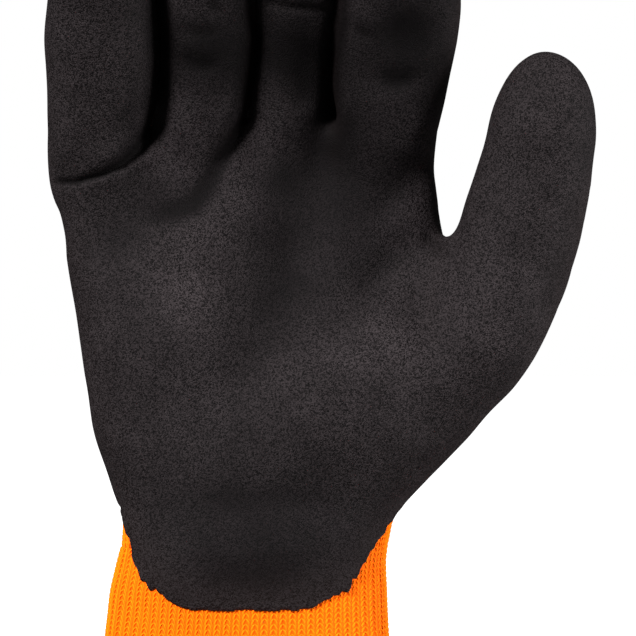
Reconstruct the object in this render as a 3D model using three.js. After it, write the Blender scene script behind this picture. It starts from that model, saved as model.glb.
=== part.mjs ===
// A right-hand knitted work glove with a dipped latex palm, in the form that a hand gives it.
// Millimetres, +Z up to the fingertips, the palm faces -Y and the thumb is on the +X side.
// The origin is the centre of the cuff's mouth. The latex's outer face is drawn first, as rings of
// points from the cuff to the fingertips, and each piece is a wall set in from that face.
import * as THREE from "three";

const { lerp, clamp, smoothstep, degToRad, radToDeg } = THREE.MathUtils;

// Walls, each set in from the glove's outermost face
const COAT_WALL = 1.0;
const KNIT_WALL = 2.2;
const SEAT_GAP = 0.3;
const ROOT_DRAW = 0.8;

// The knitted cuff and its hem
const CUFF_LENGTH = 62;
const CUFF_WIDTH = 86;
const CUFF_DEPTH = 54;
const RIBS_PER_COLUMN = 2;
const RIB_DEPTH = 0.5;
const HEM_HEIGHT = 7;
const HEM_WALL = 1.3;
const HEM_ROUND = 0.6;

// The wrist and the hand, without the thumb
const WRIST_WIDTH = 75;
const WRIST_DEPTH = 47;
const PALM_LENGTH = 116;
const KNUCKLE_DEPTH = 27;
const KNUCKLE_ARCH = 5;
const HAND_SHIFT = -3;
const FINGER_LENGTH = 83;
const FINGER_WIDTH = 26;
const FINGER_DEPTH = 25;
const FINGER_GAP = -0.2;
const CROTCH_ROOM = 2.4;
const CROTCH_REACH = 22;
const FINGER_POWER = 2.15;
const KNUCKLE_ROOT = 30;
const WEB_SHARE = 0.6;

// The thumb
const THUMB_CROTCH = 82;
const THUMB_DROP = 10;
const THUMB_LENGTH = 59;
const THUMB_WIDTH = 30;
const THUMB_DEPTH = 27;
const THUMB_WEB = 3.4;
const THUMB_SPREAD = 32;
const THUMB_SET = -12;

// How far the latex reaches: the share of the half depth that it wraps behind the hand's sides, the
// length of fingertip that it covers all round, and its lowest point and rise at the wrist
const COAT_WRAP = 0.3;
const COAT_WEB = 0.8;
const COAT_ROUND = 1.4;
const COAT_TIP = 27;
const COAT_RAMP = 10;
const COAT_LOW = 45.5;
const COAT_RISE = 24;

// The grid: steps over each finger's front and back, steps round each side, and rows
const FRONT_STEPS = 4;
const SIDE_STEPS = 2;
const SIDE_REACH = 0.96;
const CUFF_ROWS = 3;
const HEEL_ROWS = 8;
const PALM_ROWS = 6;
const SHAFT_ROWS = 5;
const TIP_TURNS = [22, 42, 60, 76];

// Fingers from the little finger to the index. width, depth and length are shares of the named sizes,
// drop is how far the crotch beside it lies below the longest one, as a share of the palm's length,
// and set how far the base stands towards the back, as a share of the knuckles' depth. flare is the
// share that the middle is wider than the root.
const FINGERS = [
  { name: "little", width: 1.07, depth: 1, length: 0.747, drop: 0.03, set: -0.204, flare: 0.04 },
  { name: "ring", width: 1, depth: 1, length: 0.916, drop: 0.0043, set: 0.0185, flare: 0.04 },
  { name: "middle", width: 0.97, depth: 1, length: 1, drop: 0, set: 0.222, flare: 0.05 },
  { name: "index", width: 1.07, depth: 1.02, length: 0.904, drop: 0.0086, set: -0.0556, flare: 0.17 },
];
// How each finger is held, in degrees: the lean to the thumb's side, the roll of its front towards
// the thumb, and the bend towards the palm at the root, the middle joint and the tip
const HOLD = {
  little: { lean: 1.8, roll: 6, root: 24, middle: 32, tip: 44 },
  ring: { lean: 2, roll: 3, root: 15, middle: 27, tip: 43 },
  middle: { lean: 3, roll: -1, root: 12, middle: 25, tip: 42 },
  index: { lean: 6, roll: -6, root: 16, middle: 26, tip: 38 },
  thumb: { root: 7, middle: 12, tip: 17 },
};
// A finger's taper: at is a share of its length, size a share of its width and depth
const FINGER_TAPER = [
  { at: 0, size: 1.0, flare: 0 },
  { at: 0.2, size: 1.0, flare: 0.6 },
  { at: 0.45, size: 1.0, flare: 1 },
  { at: 0.7, size: 0.93, flare: 0.4 },
  { at: 1, size: 0.86, flare: 0 },
];
const TIP_SHARE = 0.56;
const THUMB_TIP_SHARE = 0.8;

// The cuff's outline: at is a share of its length from the mouth, and little, thumb and deep are
// shares of the way from the wrist's size to the mouth's, on each side and front to back
const CUFF_OUTLINE = [
  { at: 0, little: 1.0, thumb: 1.0, deep: 1.0 },
  { at: 0.3, little: 1.0, thumb: 0.5, deep: 0.7 },
  { at: 0.6, little: 0.93, thumb: 0.07, deep: 0.3 },
  { at: 0.8, little: 0.71, thumb: -0.05, deep: 0.08 },
  { at: 0.93, little: 0.42, thumb: -0.08, deep: 0.02 },
  { at: 1, little: 0.1, thumb: 0.02, deep: 0 },
];

// The hand's outline: at is a share of the palm's length from the cuff, little and thumb are shares
// of the way from the wrist's half width to the knuckles' on each side, thin is a share of the way
// from the wrist's depth to the knuckles', and power squares the section up
const HAND_OUTLINE = [
  { at: 0, little: 0.0, web: 0, thumb: 0.0, thin: 0.0, power: 2.15 },
  { at: 0.08, little: -0.01, web: 0.14, thumb: 0.14, thin: 0.1, power: 2.2 },
  { at: 0.14, little: 0.1, web: 0.27, thumb: 0.27, thin: 0.2, power: 2.25 },
  { at: 0.26, little: 0.335, web: 0.46, thumb: 0.46, thin: 0.38, power: 2.4 },
  { at: 0.38, little: 0.46, web: 0.62, thumb: 0.62, thin: 0.53, power: 2.5 },
  { at: 0.55, little: 0.62, web: 0.82, thumb: 0.82, thin: 0.7, power: 2.6 },
  { at: 0.67, little: 0.74, web: 0.95, thumb: 1.1, thin: 0.8, power: 2.7 },
  { at: 0.713, little: 0.755, web: 1.0, thumb: 1.13, thin: 0.84, power: 2.7 },
  { at: 0.755, little: 0.785, web: 1.0, thumb: 1.08, thin: 0.88, power: 2.75 },
  { at: 0.79, little: 0.82, web: 1.0, thumb: 1.06, thin: 0.91, power: 2.8 },
  { at: 0.82, little: 0.89, web: 1.0, thumb: 1.07, thin: 0.93, power: 2.8 },
  { at: 0.86, little: 0.95, web: 1.0, thumb: 1.06, thin: 0.95, power: 2.8 },
  { at: 0.91, little: 0.98, web: 1.0, thumb: 0.99, thin: 0.97, power: 2.85 },
  { at: 1, little: 1.0, web: 1.0, thumb: 1.0, thin: 1.0, power: 2.9 },
];

// The thumb side's outline below the thumb: at is a share of the height of the thumb's base, and
// out is a share of the way from the wrist's edge to the thumb's
const THUMB_OUTLINE = [
  { at: 0, out: 0.0 },
  { at: 0.135, out: 0.055 },
  { at: 0.225, out: 0.17 },
  { at: 0.32, out: 0.31 },
  { at: 0.41, out: 0.435 },
  { at: 0.51, out: 0.555 },
  { at: 0.6, out: 0.685 },
  { at: 0.7, out: 0.79 },
  { at: 0.79, out: 0.86 },
  { at: 0.885, out: 0.92 },
  { at: 1, out: 1.0 },
];
const THUMB_TAPER = [
  { at: 0, size: 1.12, flare: 0 },
  { at: 0.18, size: 1.11, flare: 0 },
  { at: 0.36, size: 1.06, flare: 0 },
  { at: 0.6, size: 0.99, flare: 0 },
  { at: 1, size: 0.95, flare: 0 },
];
// The thumb's lean to the side in degrees, by share of its length
const THUMB_LEAN = [
  { at: 0, lean: 18 },
  { at: 0.15, lean: 16.5 },
  { at: 0.3, lean: 14 },
  { at: 0.5, lean: 9.5 },
  { at: 0.7, lean: 5 },
  { at: 0.85, lean: 1 },
  { at: 1, lean: 0 },
];

// The latex's edge over the wrist: at is a share of a quarter turn from the middle of the front, and
// rise a share of COAT_RISE
const COAT_EDGE = [
  { at: 0, rise: 0 },
  { at: 0.3, rise: 0 },
  { at: 0.4, rise: 0.18 },
  { at: 0.57, rise: 0.45 },
  { at: 0.77, rise: 0.76 },
  { at: 1, rise: 1 },
  { at: 1.3, rise: 1.2 },
];

// The palm's mounds and hollows: across is a share of the half width of the knuckles from the
// hand's middle, up a share of the palm's length, wide and tall shares of the palm's length, slant
// the tilt of the long axis in degrees, and rise a share of the knuckles' depth
const MOUNDS = [
  { name: "thumb mound", across: 0.55, up: 0.4, wide: 0.2, tall: 0.34, slant: -42, rise: 0.2 },
  { name: "little finger mound", across: -0.5, up: 0.52, wide: 0.2, tall: 0.36, slant: 8, rise: 0.13 },
  { name: "palm hollow", across: 0.1, up: 0.62, wide: 0.15, tall: 0.36, slant: -24, rise: -0.2 },
  { name: "heel hollow", across: -0.02, up: 0.12, wide: 0.26, tall: 0.12, slant: 0, rise: -0.06 },
  { name: "knuckle pad", across: 0.0, up: 0.93, wide: 0.5, tall: 0.1, slant: 4, rise: 0.08 },
];
// The creases across the palm's front, from one end to the other: across and up as above, wide a
// share of the palm's length and deep a share of the knuckles' depth
const CREASES = [
  { name: "little finger root", from: [-1.0, 0.855], to: [-0.5, 1.0], wide: 0.045, deep: 0.2 },
  { name: "ring finger root", from: [-0.66, 0.72], to: [-0.2, 0.93], wide: 0.06, deep: 0.08 },
  { name: "thumb root", from: [0.86, 0.7], to: [0.42, 0.5], wide: 0.05, deep: 0.07 },
];

const WIDTH_SHARES = FINGERS.reduce((sum, finger) => sum + finger.width, 0);
const KNUCKLE_WIDTH = FINGER_WIDTH * WIDTH_SHARES + FINGER_GAP * (FINGERS.length - 1);
const KNUCKLE_LITTLE = HAND_SHIFT - KNUCKLE_WIDTH / 2;
const KNUCKLE_THUMB = HAND_SHIFT + KNUCKLE_WIDTH / 2;
const THUMB_BASE = THUMB_CROTCH - THUMB_DROP;
const THUMB_ROLL = -radToDeg(Math.atan2(-THUMB_SET, THUMB_SPREAD));
const GROUPS = FINGERS.length + 1;
const HAND = "hand";

// A value of a table's column at a place between its rows, on a smooth curve through them.
function read(table, column, at) {
  const last = table.length - 1;
  const place = clamp(at, table[0].at, table[last].at);
  let i = 0;
  while (i < last - 1 && place > table[i + 1].at) i++;
  const slope = (j) => {
    const before = table[Math.max(j - 1, 0)];
    const after = table[Math.min(j + 1, last)];
    return (after[column] - before[column]) / (after.at - before.at);
  };
  const span = table[i + 1].at - table[i].at;
  const t = (place - table[i].at) / span;
  const start = (1 + 2 * t) * (1 - t) ** 2;
  const pull = t * (1 - t) ** 2 * span;
  const push = t * t * (t - 1) * span;
  const mean = start * table[i][column] + (1 - start) * table[i + 1][column];
  return mean + pull * slope(i) + push * slope(i + 1);
}

// The places round a section that spans so many fingers: over the front from the little finger's
// side, round the thumb's side, over the back and round the little finger's side.
function ringSpots(groups, power) {
  const steps = groups * FRONT_STEPS;
  const one = groups === 1;
  const edge = one ? Math.PI / 6 : Math.acos(SIDE_REACH ** (power / 2));
  const round = (turn) => ({
    across: Math.sign(Math.cos(turn)) * Math.abs(Math.cos(turn)) ** (2 / power),
    deep: Math.sign(Math.sin(turn)) * Math.abs(Math.sin(turn)) ** (2 / power),
  });
  const flat = (share, face) => {
    if (one) return round(face * lerp(Math.PI - edge, edge, share));
    const across = SIDE_REACH * (2 * share - 1);
    return { across, deep: face * (1 - Math.abs(across) ** power) ** (1 / power) };
  };
  const spots = [];
  for (let i = 0; i <= steps; i++) spots.push(flat(i / steps, -1));
  for (let i = 1; i < SIDE_STEPS; i++) spots.push(round(lerp(-edge, edge, i / SIDE_STEPS)));
  for (let i = steps; i >= 0; i--) spots.push(flat(i / steps, 1));
  for (let i = 1; i < SIDE_STEPS; i++) {
    spots.push(round(lerp(Math.PI - edge, Math.PI + edge, i / SIDE_STEPS)));
  }
  return spots;
}

// A section's point at a spot. A section has its ends on the little finger's and the thumb's side,
// half depths to the front and back along its axis, and the arch of its middle.
function sectionPoint(section, spot) {
  const { little, thumb, front, back, axis, arch } = section;
  const point = new THREE.Vector3().lerpVectors(little, thumb, (spot.across + 1) / 2);
  point.addScaledVector(axis, spot.deep * (spot.deep < 0 ? front : back) + arch * (1 - spot.across ** 2));
  return { point, wrap: spot.deep };
}
const BACKWARD = new THREE.Vector3(0, 1, 0);

function cuffSection(height) {
  const at = height / CUFF_LENGTH;
  const widen = (CUFF_WIDTH - WRIST_WIDTH) / 2;
  const deep = (WRIST_DEPTH + (CUFF_DEPTH - WRIST_DEPTH) * read(CUFF_OUTLINE, "deep", at)) / 2;
  const little = -WRIST_WIDTH / 2 - widen * read(CUFF_OUTLINE, "little", at);
  const thumb = WRIST_WIDTH / 2 + widen * read(CUFF_OUTLINE, "thumb", at);
  return {
    little: new THREE.Vector3(little, 0, height),
    thumb: new THREE.Vector3(thumb, 0, height),
    front: deep,
    back: deep,
    axis: BACKWARD,
    arch: 0,
    power: HAND_OUTLINE[0].power,
  };
}

// The hand without its thumb, at a height above the cuff.
function handSection(up) {
  const at = up / PALM_LENGTH;
  const half = WRIST_WIDTH / 2;
  const little = -lerp(half, -KNUCKLE_LITTLE, read(HAND_OUTLINE, "little", at));
  const web = lerp(half * WEB_SHARE, KNUCKLE_THUMB + THUMB_WEB, read(HAND_OUTLINE, "web", at));
  const side = lerp(half, KNUCKLE_THUMB, read(HAND_OUTLINE, "thumb", at));
  const deep = lerp(WRIST_DEPTH, KNUCKLE_DEPTH, read(HAND_OUTLINE, "thin", at)) / 2;
  const z = CUFF_LENGTH + up;
  return {
    little: new THREE.Vector3(little, 0, z),
    thumb: new THREE.Vector3(up > THUMB_CROTCH ? side : web, 0, z),
    front: deep,
    back: deep,
    axis: BACKWARD,
    arch: KNUCKLE_ARCH * smoothstep(at, 0, 1),
    power: read(HAND_OUTLINE, "power", at),
  };
}

// The edge of the thumb's side below the thumb, at a share of the height of the thumb's base.
function thumbSide(share) {
  const edge = KNUCKLE_THUMB + THUMB_WEB + THUMB_SPREAD;
  const x = lerp(WRIST_WIDTH / 2, edge, read(THUMB_OUTLINE, "out", share));
  return new THREE.Vector3(x, THUMB_SET * smoothstep(share, 0.1, 1), CUFF_LENGTH + THUMB_BASE * share);
}

// The whole hand below the thumb's crotch: share 0 is the cuff and 1 the crotch.
function heelSection(share) {
  const hand = handSection(THUMB_CROTCH * share);
  return { ...hand, thumb: thumbSide(share) };
}

// The thumb's part of that stretch.
function thumbRootSection(share) {
  const hand = handSection(THUMB_CROTCH * share);
  const deep = lerp(hand.front, (THUMB_DEPTH * THUMB_TAPER[0].size) / 2, smoothstep(share, 0, 1));
  const ends = { little: hand.thumb, thumb: thumbSide(share) };
  const side = ends.thumb.clone().sub(ends.little).normalize();
  const square = new THREE.Vector3(0, 0, 1).cross(side).normalize();
  const axis = BACKWARD.clone().lerp(square, share).normalize();
  return { ...ends, front: deep, back: deep, axis, arch: 0, power: FINGER_POWER };
}

// The middle line of a finger: its place and direction at a distance past its crotch. It starts at
// its knuckle, below the crotch, and bends towards the palm.
function fingerLine(finger, start, reach) {
  const bend = [
    { at: -finger.knuckle / finger.length, turn: 0 },
    { at: 0, turn: finger.root },
    { at: 0.45, turn: finger.middle },
    { at: 1, turn: finger.tip },
  ];
  const place = start.clone();
  const heading = (s) => {
    const share = s / finger.length;
    const turn = degToRad(read(bend, "turn", share));
    const lean = degToRad(finger.leanAt ? read(finger.leanAt, "lean", share) : finger.lean);
    const ahead = Math.cos(turn);
    const forward = new THREE.Vector3(Math.sin(lean) * ahead, -Math.sin(turn), Math.cos(lean) * ahead);
    const level = new THREE.Vector3(Math.cos(lean), 0, -Math.sin(lean));
    return { forward, side: level.applyAxisAngle(forward, degToRad(finger.roll)) };
  };
  const steps = Math.max(1, Math.ceil(Math.abs(reach)));
  const step = reach / steps;
  for (let i = 0; i < steps; i++) place.addScaledVector(heading((i + 0.5) * step).forward, step);
  return { place, ...heading(reach) };
}

function tubeSection(finger, reach) {
  const { place, forward, side } = fingerLine(finger, finger.start, reach);
  const share = reach / finger.length;
  const tip = finger.width * finger.tipShare;
  const past = clamp((reach - (finger.length - tip)) / tip, 0, 1);
  const size = read(finger.taper, "size", share) * Math.sqrt(1 - past ** 2);
  const wide = (finger.width * size * (1 + finger.flare * read(finger.taper, "flare", share))) / 2;
  const deep = (finger.depth * size) / 2;
  const room = (CROTCH_ROOM / 2) * (1 - smoothstep(reach, 0, CROTCH_REACH));
  return {
    little: place.clone().addScaledVector(side, room * finger.beside[0] - wide),
    thumb: place.clone().addScaledVector(side, wide - room * finger.beside[1]),
    front: deep,
    back: deep,
    axis: new THREE.Vector3().crossVectors(forward, side),
    arch: 0,
    power: FINGER_POWER,
  };
}

// Each finger with its place at the knuckles, and whether there is a finger beside it on its
// little finger's and its thumb's side.
function placedFingers() {
  let edge = KNUCKLE_LITTLE;
  return FINGERS.map((finger, n) => {
    const width = FINGER_WIDTH * finger.width;
    const x = edge + width / 2;
    edge += width + FINGER_GAP;
    const z = CUFF_LENGTH + PALM_LENGTH * (1 - finger.drop);
    return {
      ...HOLD[finger.name],
      name: finger.name,
      start: new THREE.Vector3(x, KNUCKLE_DEPTH * finger.set, z),
      beside: [n ? 1 : 0, n < FINGERS.length - 1 ? 1 : 0],
      knuckle: KNUCKLE_ROOT,
      width,
      depth: FINGER_DEPTH * finger.depth,
      length: FINGER_LENGTH * finger.length,
      taper: FINGER_TAPER,
      flare: finger.flare,
      tipShare: TIP_SHARE,
    };
  });
}

function placedThumb() {
  const root = thumbRootSection(1);
  const start = root.little.clone().lerp(root.thumb, 0.5);
  return {
    ...HOLD.thumb,
    name: "thumb",
    start,
    beside: [0, 0],
    roll: THUMB_ROLL,
    knuckle: 1,
    width: THUMB_WIDTH,
    depth: THUMB_DEPTH,
    length: THUMB_LENGTH,
    taper: THUMB_TAPER,
    flare: 0,
    leanAt: THUMB_LEAN,
    tipShare: THUMB_TIP_SHARE,
  };
}

// The palm's front is pushed out over its mounds and in along its hollows and creases.
function relief(point) {
  const across = (point.x - HAND_SHIFT) / (KNUCKLE_WIDTH / 2);
  const up = (point.z - CUFF_LENGTH) / PALM_LENGTH;
  let rise = 0;
  for (const mound of MOUNDS) {
    const slant = degToRad(mound.slant);
    const dx = ((across - mound.across) * KNUCKLE_WIDTH) / 2 / PALM_LENGTH;
    const dz = up - mound.up;
    const u = (dx * Math.cos(slant) + dz * Math.sin(slant)) / mound.wide;
    const v = (dz * Math.cos(slant) - dx * Math.sin(slant)) / mound.tall;
    rise += mound.rise * Math.exp(-u * u - v * v);
  }
  for (const crease of CREASES) {
    const line = new THREE.Line3(spread(crease.from), spread(crease.to));
    const near = line.closestPointToPoint(spread([across, up]), true, new THREE.Vector3());
    const away = near.distanceTo(spread([across, up])) / crease.wide;
    rise -= crease.deep * Math.exp(-away * away);
  }
  return rise * KNUCKLE_DEPTH;
}
function spread([across, up]) {
  return new THREE.Vector3((across * KNUCKLE_WIDTH) / 2 / PALM_LENGTH, up, 0);
}

// The outermost face, as a grid of points and triangles. Each point keeps its wrap, from -1 at the
// front to 1 at the back, and the wrap that the latex reaches there, and each triangle the part of
// the glove that it belongs to. A finger's root is its first ring, with its middle and direction.
class Skin {
  points = [];
  wraps = [];
  covers = [];
  facing = new Map();
  triangles = [];
  parts = [];
  part = HAND;
  roots = new Map();
  ring(made, cover) {
    return made.map(({ point, wrap }) => {
      const moved = point.clone();
      moved.y -= relief(point) * smoothstep(-wrap, 0.1, 0.9);
      this.points.push(moved);
      this.wraps.push(wrap);
      this.covers.push(cover);
      return this.points.length - 1;
    });
  }
  // A web's points face up, between the fingers that rise from it, and its ends half up.
  web(made, front, back) {
    const ring = this.ring(made, COAT_WEB);
    ring.forEach((i) => this.facing.set(i, new THREE.Vector3(0, 0, 1)));
    this.facing.set(front, new THREE.Vector3(0, -1, 1).normalize());
    this.facing.set(back, new THREE.Vector3(0, 1, 1).normalize());
    return ring;
  }
  face(...corners) {
    this.triangles.push(corners);
    this.parts.push(this.part);
  }
  join(lower, upper) {
    lower.forEach((a, i) => {
      const next = (i + 1) % lower.length;
      this.face(a, lower[next], upper[next]);
      this.face(a, upper[next], upper[i]);
    });
  }
  close(ring, point, cover) {
    const [pole] = this.ring([{ point, wrap: 0 }], cover);
    ring.forEach((a, i) => this.face(a, ring[(i + 1) % ring.length], pole));
  }
}

const mixed = (a, b, share) => ({
  point: a.point.clone().lerp(b.point, share),
  wrap: lerp(a.wrap, b.wrap, share),
});
const ringOf = (section, groups) => ringSpots(groups, section.power).map((spot) => sectionPoint(section, spot));

// The points that neighbouring sections share run together: the front and back of each joint
// between them are the mean of both sides. parts holds a ring of each section and its groups.
function joinedRing(parts) {
  const front = [];
  const back = [];
  parts.forEach(({ ring, groups }, n) => {
    const steps = groups * FRONT_STEPS;
    const ahead = ring.slice(0, steps + 1);
    const behind = ring.slice(steps + SIDE_STEPS, 2 * steps + SIDE_STEPS + 1).reverse();
    if (n) {
      front.push(mixed(front.pop(), ahead.shift(), 0.5));
      back.push(mixed(back.pop(), behind.shift(), 0.5));
    }
    front.push(...ahead);
    back.push(...behind);
  });
  const first = parts[0];
  const last = parts[parts.length - 1];
  const steps = last.groups * FRONT_STEPS;
  const thumbSideRing = last.ring.slice(steps + 1, steps + SIDE_STEPS);
  const littleSideRing = first.ring.slice(2 * first.groups * FRONT_STEPS + SIDE_STEPS + 1);
  return [...front, ...thumbSideRing, ...back.reverse(), ...littleSideRing];
}

// A ring is cut in two at a joint between fingers, and both halves share the web between them.
function cutRing(skin, ring, groups, at, between) {
  const steps = groups * FRONT_STEPS;
  const cut = at * FRONT_STEPS;
  const front = ring.slice(0, steps + 1);
  const side = ring.slice(steps + 1, steps + SIDE_STEPS);
  const back = ring.slice(steps + SIDE_STEPS, 2 * steps + SIDE_STEPS + 1);
  const rest = ring.slice(2 * steps + SIDE_STEPS + 1);
  const web = skin.web(between, front[cut], back[steps - cut]);
  return [
    [...front.slice(0, cut + 1), ...web, ...back.slice(steps - cut), ...rest],
    [...front.slice(cut), ...side, ...back.slice(0, steps - cut + 1), ...[...web].reverse()],
  ];
}

// The web between two rings at their crotch: the mean of the sides that face each other.
function webBetween(little, groups, thumb) {
  const steps = groups * FRONT_STEPS;
  const from = little.slice(steps + 1, steps + SIDE_STEPS);
  const to = thumb.slice(2 * FRONT_STEPS + SIDE_STEPS + 1).reverse();
  return from.map((spot, i) => mixed(spot, to[i], 0.5));
}

function growFinger(skin, finger, base) {
  const tip = finger.width * finger.tipShare;
  const shaft = finger.length - tip;
  const capped = finger.length - COAT_TIP;
  const round = (reach) => smoothstep(reach, capped - COAT_RAMP, capped + COAT_RAMP);
  const cover = (reach) => lerp(COAT_WRAP, COAT_ROUND, round(reach));
  const reaches = [];
  for (let i = 1; i <= SHAFT_ROWS; i++) reaches.push(shaft * (i / SHAFT_ROWS) ** 1.25);
  for (const turn of TIP_TURNS) reaches.push(shaft + tip * Math.sin(degToRad(turn)));
  const { forward } = fingerLine(finger, finger.start, 0);
  skin.roots.set(finger.name, { ring: new Set(base), start: finger.start, forward });
  skin.part = finger.name;
  let ring = base;
  for (const reach of reaches) {
    const next = skin.ring(ringOf(tubeSection(finger, reach), 1), cover(reach));
    skin.join(ring, next);
    ring = next;
  }
  skin.close(ring, fingerLine(finger, finger.start, finger.length).place, cover(finger.length));
  skin.part = HAND;
}

function gloveSkin() {
  const skin = new Skin();
  const fingers = placedFingers();
  const thumb = placedThumb();
  const rows = [];
  const add = (points) => {
    const ring = skin.ring(points, COAT_WRAP);
    if (rows.length) skin.join(rows[rows.length - 1], ring);
    rows.push(ring);
    return ring;
  };
  add(ringOf(cuffSection(HEM_WALL + SEAT_GAP), GROUPS));
  for (let i = 0; i < CUFF_ROWS; i++) {
    add(ringOf(cuffSection(lerp(HEM_HEIGHT, CUFF_LENGTH, i / CUFF_ROWS)), GROUPS));
  }
  const joint = rows.length;
  let hand;
  let root;
  for (let i = 0; i <= HEEL_ROWS; i++) {
    const share = i / HEEL_ROWS;
    const whole = ringOf(heelSection(share), GROUPS);
    hand = ringOf(handSection(THUMB_CROTCH * share), GROUPS - 1);
    root = ringOf(thumbRootSection(share), 1);
    const split = joinedRing([
      { ring: hand, groups: GROUPS - 1 },
      { ring: root, groups: 1 },
    ]);
    const apart = smoothstep(share, 0.35, 1);
    add(whole.map((spot, n) => mixed(spot, split[n], apart)));
  }
  const thumbWeb = webBetween(hand, GROUPS - 1, root);
  let [ring, thumbRing] = cutRing(skin, rows[rows.length - 1], GROUPS, GROUPS - 1, thumbWeb);
  growFinger(skin, thumb, thumbRing);

  const top = PALM_LENGTH - THUMB_CROTCH;
  let tubes;
  for (let i = 1; i <= PALM_ROWS; i++) {
    const share = i / PALM_ROWS;
    const whole = ringOf(handSection(THUMB_CROTCH + top * share), GROUPS - 1);
    tubes = fingers.map((finger) => ({ ring: ringOf(tubeSection(finger, -top * (1 - share)), 1), groups: 1 }));
    const split = joinedRing(tubes);
    const apart = smoothstep(share, 0.05, 1);
    const next = skin.ring(whole.map((spot, n) => mixed(spot, split[n], apart)), COAT_WRAP);
    skin.join(ring, next);
    ring = next;
  }
  for (let left = fingers.length; left > 1; left--) {
    const n = fingers.length - left;
    const web = webBetween(tubes[n].ring, 1, tubes[n + 1].ring);
    const [base, rest] = cutRing(skin, ring, left, 1, web);
    growFinger(skin, fingers[n], base);
    ring = rest;
  }
  growFinger(skin, fingers[fingers.length - 1], ring);
  return { skin, rows, joint };
}

const { skin, rows, joint } = gloveSkin();

// The outward normals of the grid's points.
function skinNormals() {
  const geometry = new THREE.BufferGeometry().setFromPoints(skin.points);
  geometry.setIndex(skin.triangles.flat());
  geometry.computeVertexNormals();
  const normals = geometry.getAttribute("normal");
  return skin.points.map((_, i) => skin.facing.get(i) ?? new THREE.Vector3().fromBufferAttribute(normals, i));
}
const normals = skinNormals();
const inset = (i, depth) => skin.points[i].clone().addScaledVector(normals[i], -depth);
// The same, level, for the pieces that meet at a ring of even height.
const levelInset = (i, depth) => {
  const level = normals[i].clone().setZ(0).normalize();
  return skin.points[i].clone().addScaledVector(level, -depth);
};

// A closed wall: an outer and an inner face with the same triangles, joined round their edges. The
// strip is split along its shorter diagonals, so that two walls that meet there lie flush.
function closedWall(outer, inner, triangles) {
  const used = new Map();
  const positions = [];
  const place = (list, i, side) => {
    const key = `${i}${side}`;
    if (!used.has(key)) {
      used.set(key, positions.length / 3);
      positions.push(...list[i].toArray());
    }
    return used.get(key);
  };
  const index = [];
  const edges = new Map();
  for (const [a, b, c] of triangles) {
    index.push(place(outer, a, "o"), place(outer, b, "o"), place(outer, c, "o"));
    index.push(place(inner, a, "i"), place(inner, c, "i"), place(inner, b, "i"));
    for (const [from, to] of [[a, b], [b, c], [c, a]]) {
      if (!edges.delete(`${to},${from}`)) edges.set(`${from},${to}`, [from, to]);
    }
  }
  for (const [from, to] of edges.values()) {
    const [a, b] = [place(outer, from, "o"), place(inner, from, "i")];
    const [c, d] = [place(inner, to, "i"), place(outer, to, "o")];
    const ahead = outer[from].distanceTo(inner[to]) < outer[to].distanceTo(inner[from]);
    index.push(...(ahead ? [a, b, c, a, c, d] : [a, b, d, b, c, d]));
  }
  const geometry = new THREE.BufferGeometry();
  geometry.setAttribute("position", new THREE.Float32BufferAttribute(positions, 3));
  geometry.setIndex(index);
  return geometry;
}

// A part of the knitted hand: the hand itself starts level above the cuff, and a finger starts a
// seat's gap past the ring that it grows from, drawn in a little so that it clears its neighbours.
function knitWall(part) {
  const first = rows[joint][0];
  const rim = new Set(part === HAND ? rows[joint] : []);
  const root = skin.roots.get(part);
  const clear = (point) => {
    const inward = root.start.clone().sub(point).projectOnPlane(root.forward);
    point.addScaledVector(root.forward, SEAT_GAP);
    return point.addScaledVector(inward.normalize(), SEAT_GAP * ROOT_DRAW);
  };
  const faces = skin.triangles.filter((triangle, n) => {
    return skin.parts[n] === part && triangle.every((i) => i >= first);
  });
  const face = (depth) =>
    skin.points.map((point, i) => {
      if (rim.has(i)) return levelInset(i, depth).setZ(point.z + SEAT_GAP / 2);
      return root?.ring.has(i) ? clear(inset(i, depth)) : inset(i, depth);
    });
  const knit = COAT_WALL + SEAT_GAP;
  return closedWall(face(knit), face(knit + KNIT_WALL), faces);
}

// How far inside the latex's edge a point lies: below nought there is bare knit.
function coatDepth(i) {
  const point = skin.points[i];
  const section = cuffSection(clamp(point.z, 0, CUFF_LENGTH));
  const half = (section.thumb.x - section.little.x) / 2;
  const middle = (section.thumb.x + section.little.x) / 2;
  const turn = Math.atan2(Math.abs(point.x - middle) / half, -point.y / section.front) / (Math.PI / 2);
  const edge = COAT_LOW + COAT_RISE * read(COAT_EDGE, "rise", turn);
  const low = point.z - edge;
  const wrapped = (skin.covers[i] - skin.wraps[i]) * (KNUCKLE_DEPTH / 2);
  return Math.min(low, wrapped);
}

// The latex: the part of the outermost face in front of its edge, cut where the depth is nought.
function palmCoating() {
  const depths = skin.points.map((_, i) => coatDepth(i));
  const outer = skin.points.map((_, i) => inset(i, 0));
  const inner = skin.points.map((_, i) => inset(i, COAT_WALL));
  const cuts = new Map();
  const cut = (a, b) => {
    const key = a < b ? `${a},${b}` : `${b},${a}`;
    if (!cuts.has(key)) {
      const share = clamp(depths[a] / (depths[a] - depths[b]), 0.04, 0.96);
      outer.push(outer[a].clone().lerp(outer[b], share));
      inner.push(inner[a].clone().lerp(inner[b], share));
      cuts.set(key, outer.length - 1);
    }
    return cuts.get(key);
  };
  const faces = [];
  for (const triangle of skin.triangles) {
    const kept = triangle.filter((i) => depths[i] > 0).length;
    if (kept === 3) faces.push(triangle);
    if (kept === 0 || kept === 3) continue;
    const odd = triangle.findIndex((i) => depths[i] > 0 === (kept === 1));
    const [a, b, c] = [0, 1, 2].map((n) => triangle[(odd + n) % 3]);
    const [ab, ac] = [cut(a, b), cut(a, c)];
    if (kept === 1) faces.push([a, ab, ac]);
    else faces.push([ab, b, c], [ab, c, ac]);
  }
  return closedWall(outer, inner, faces);
}

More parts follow.
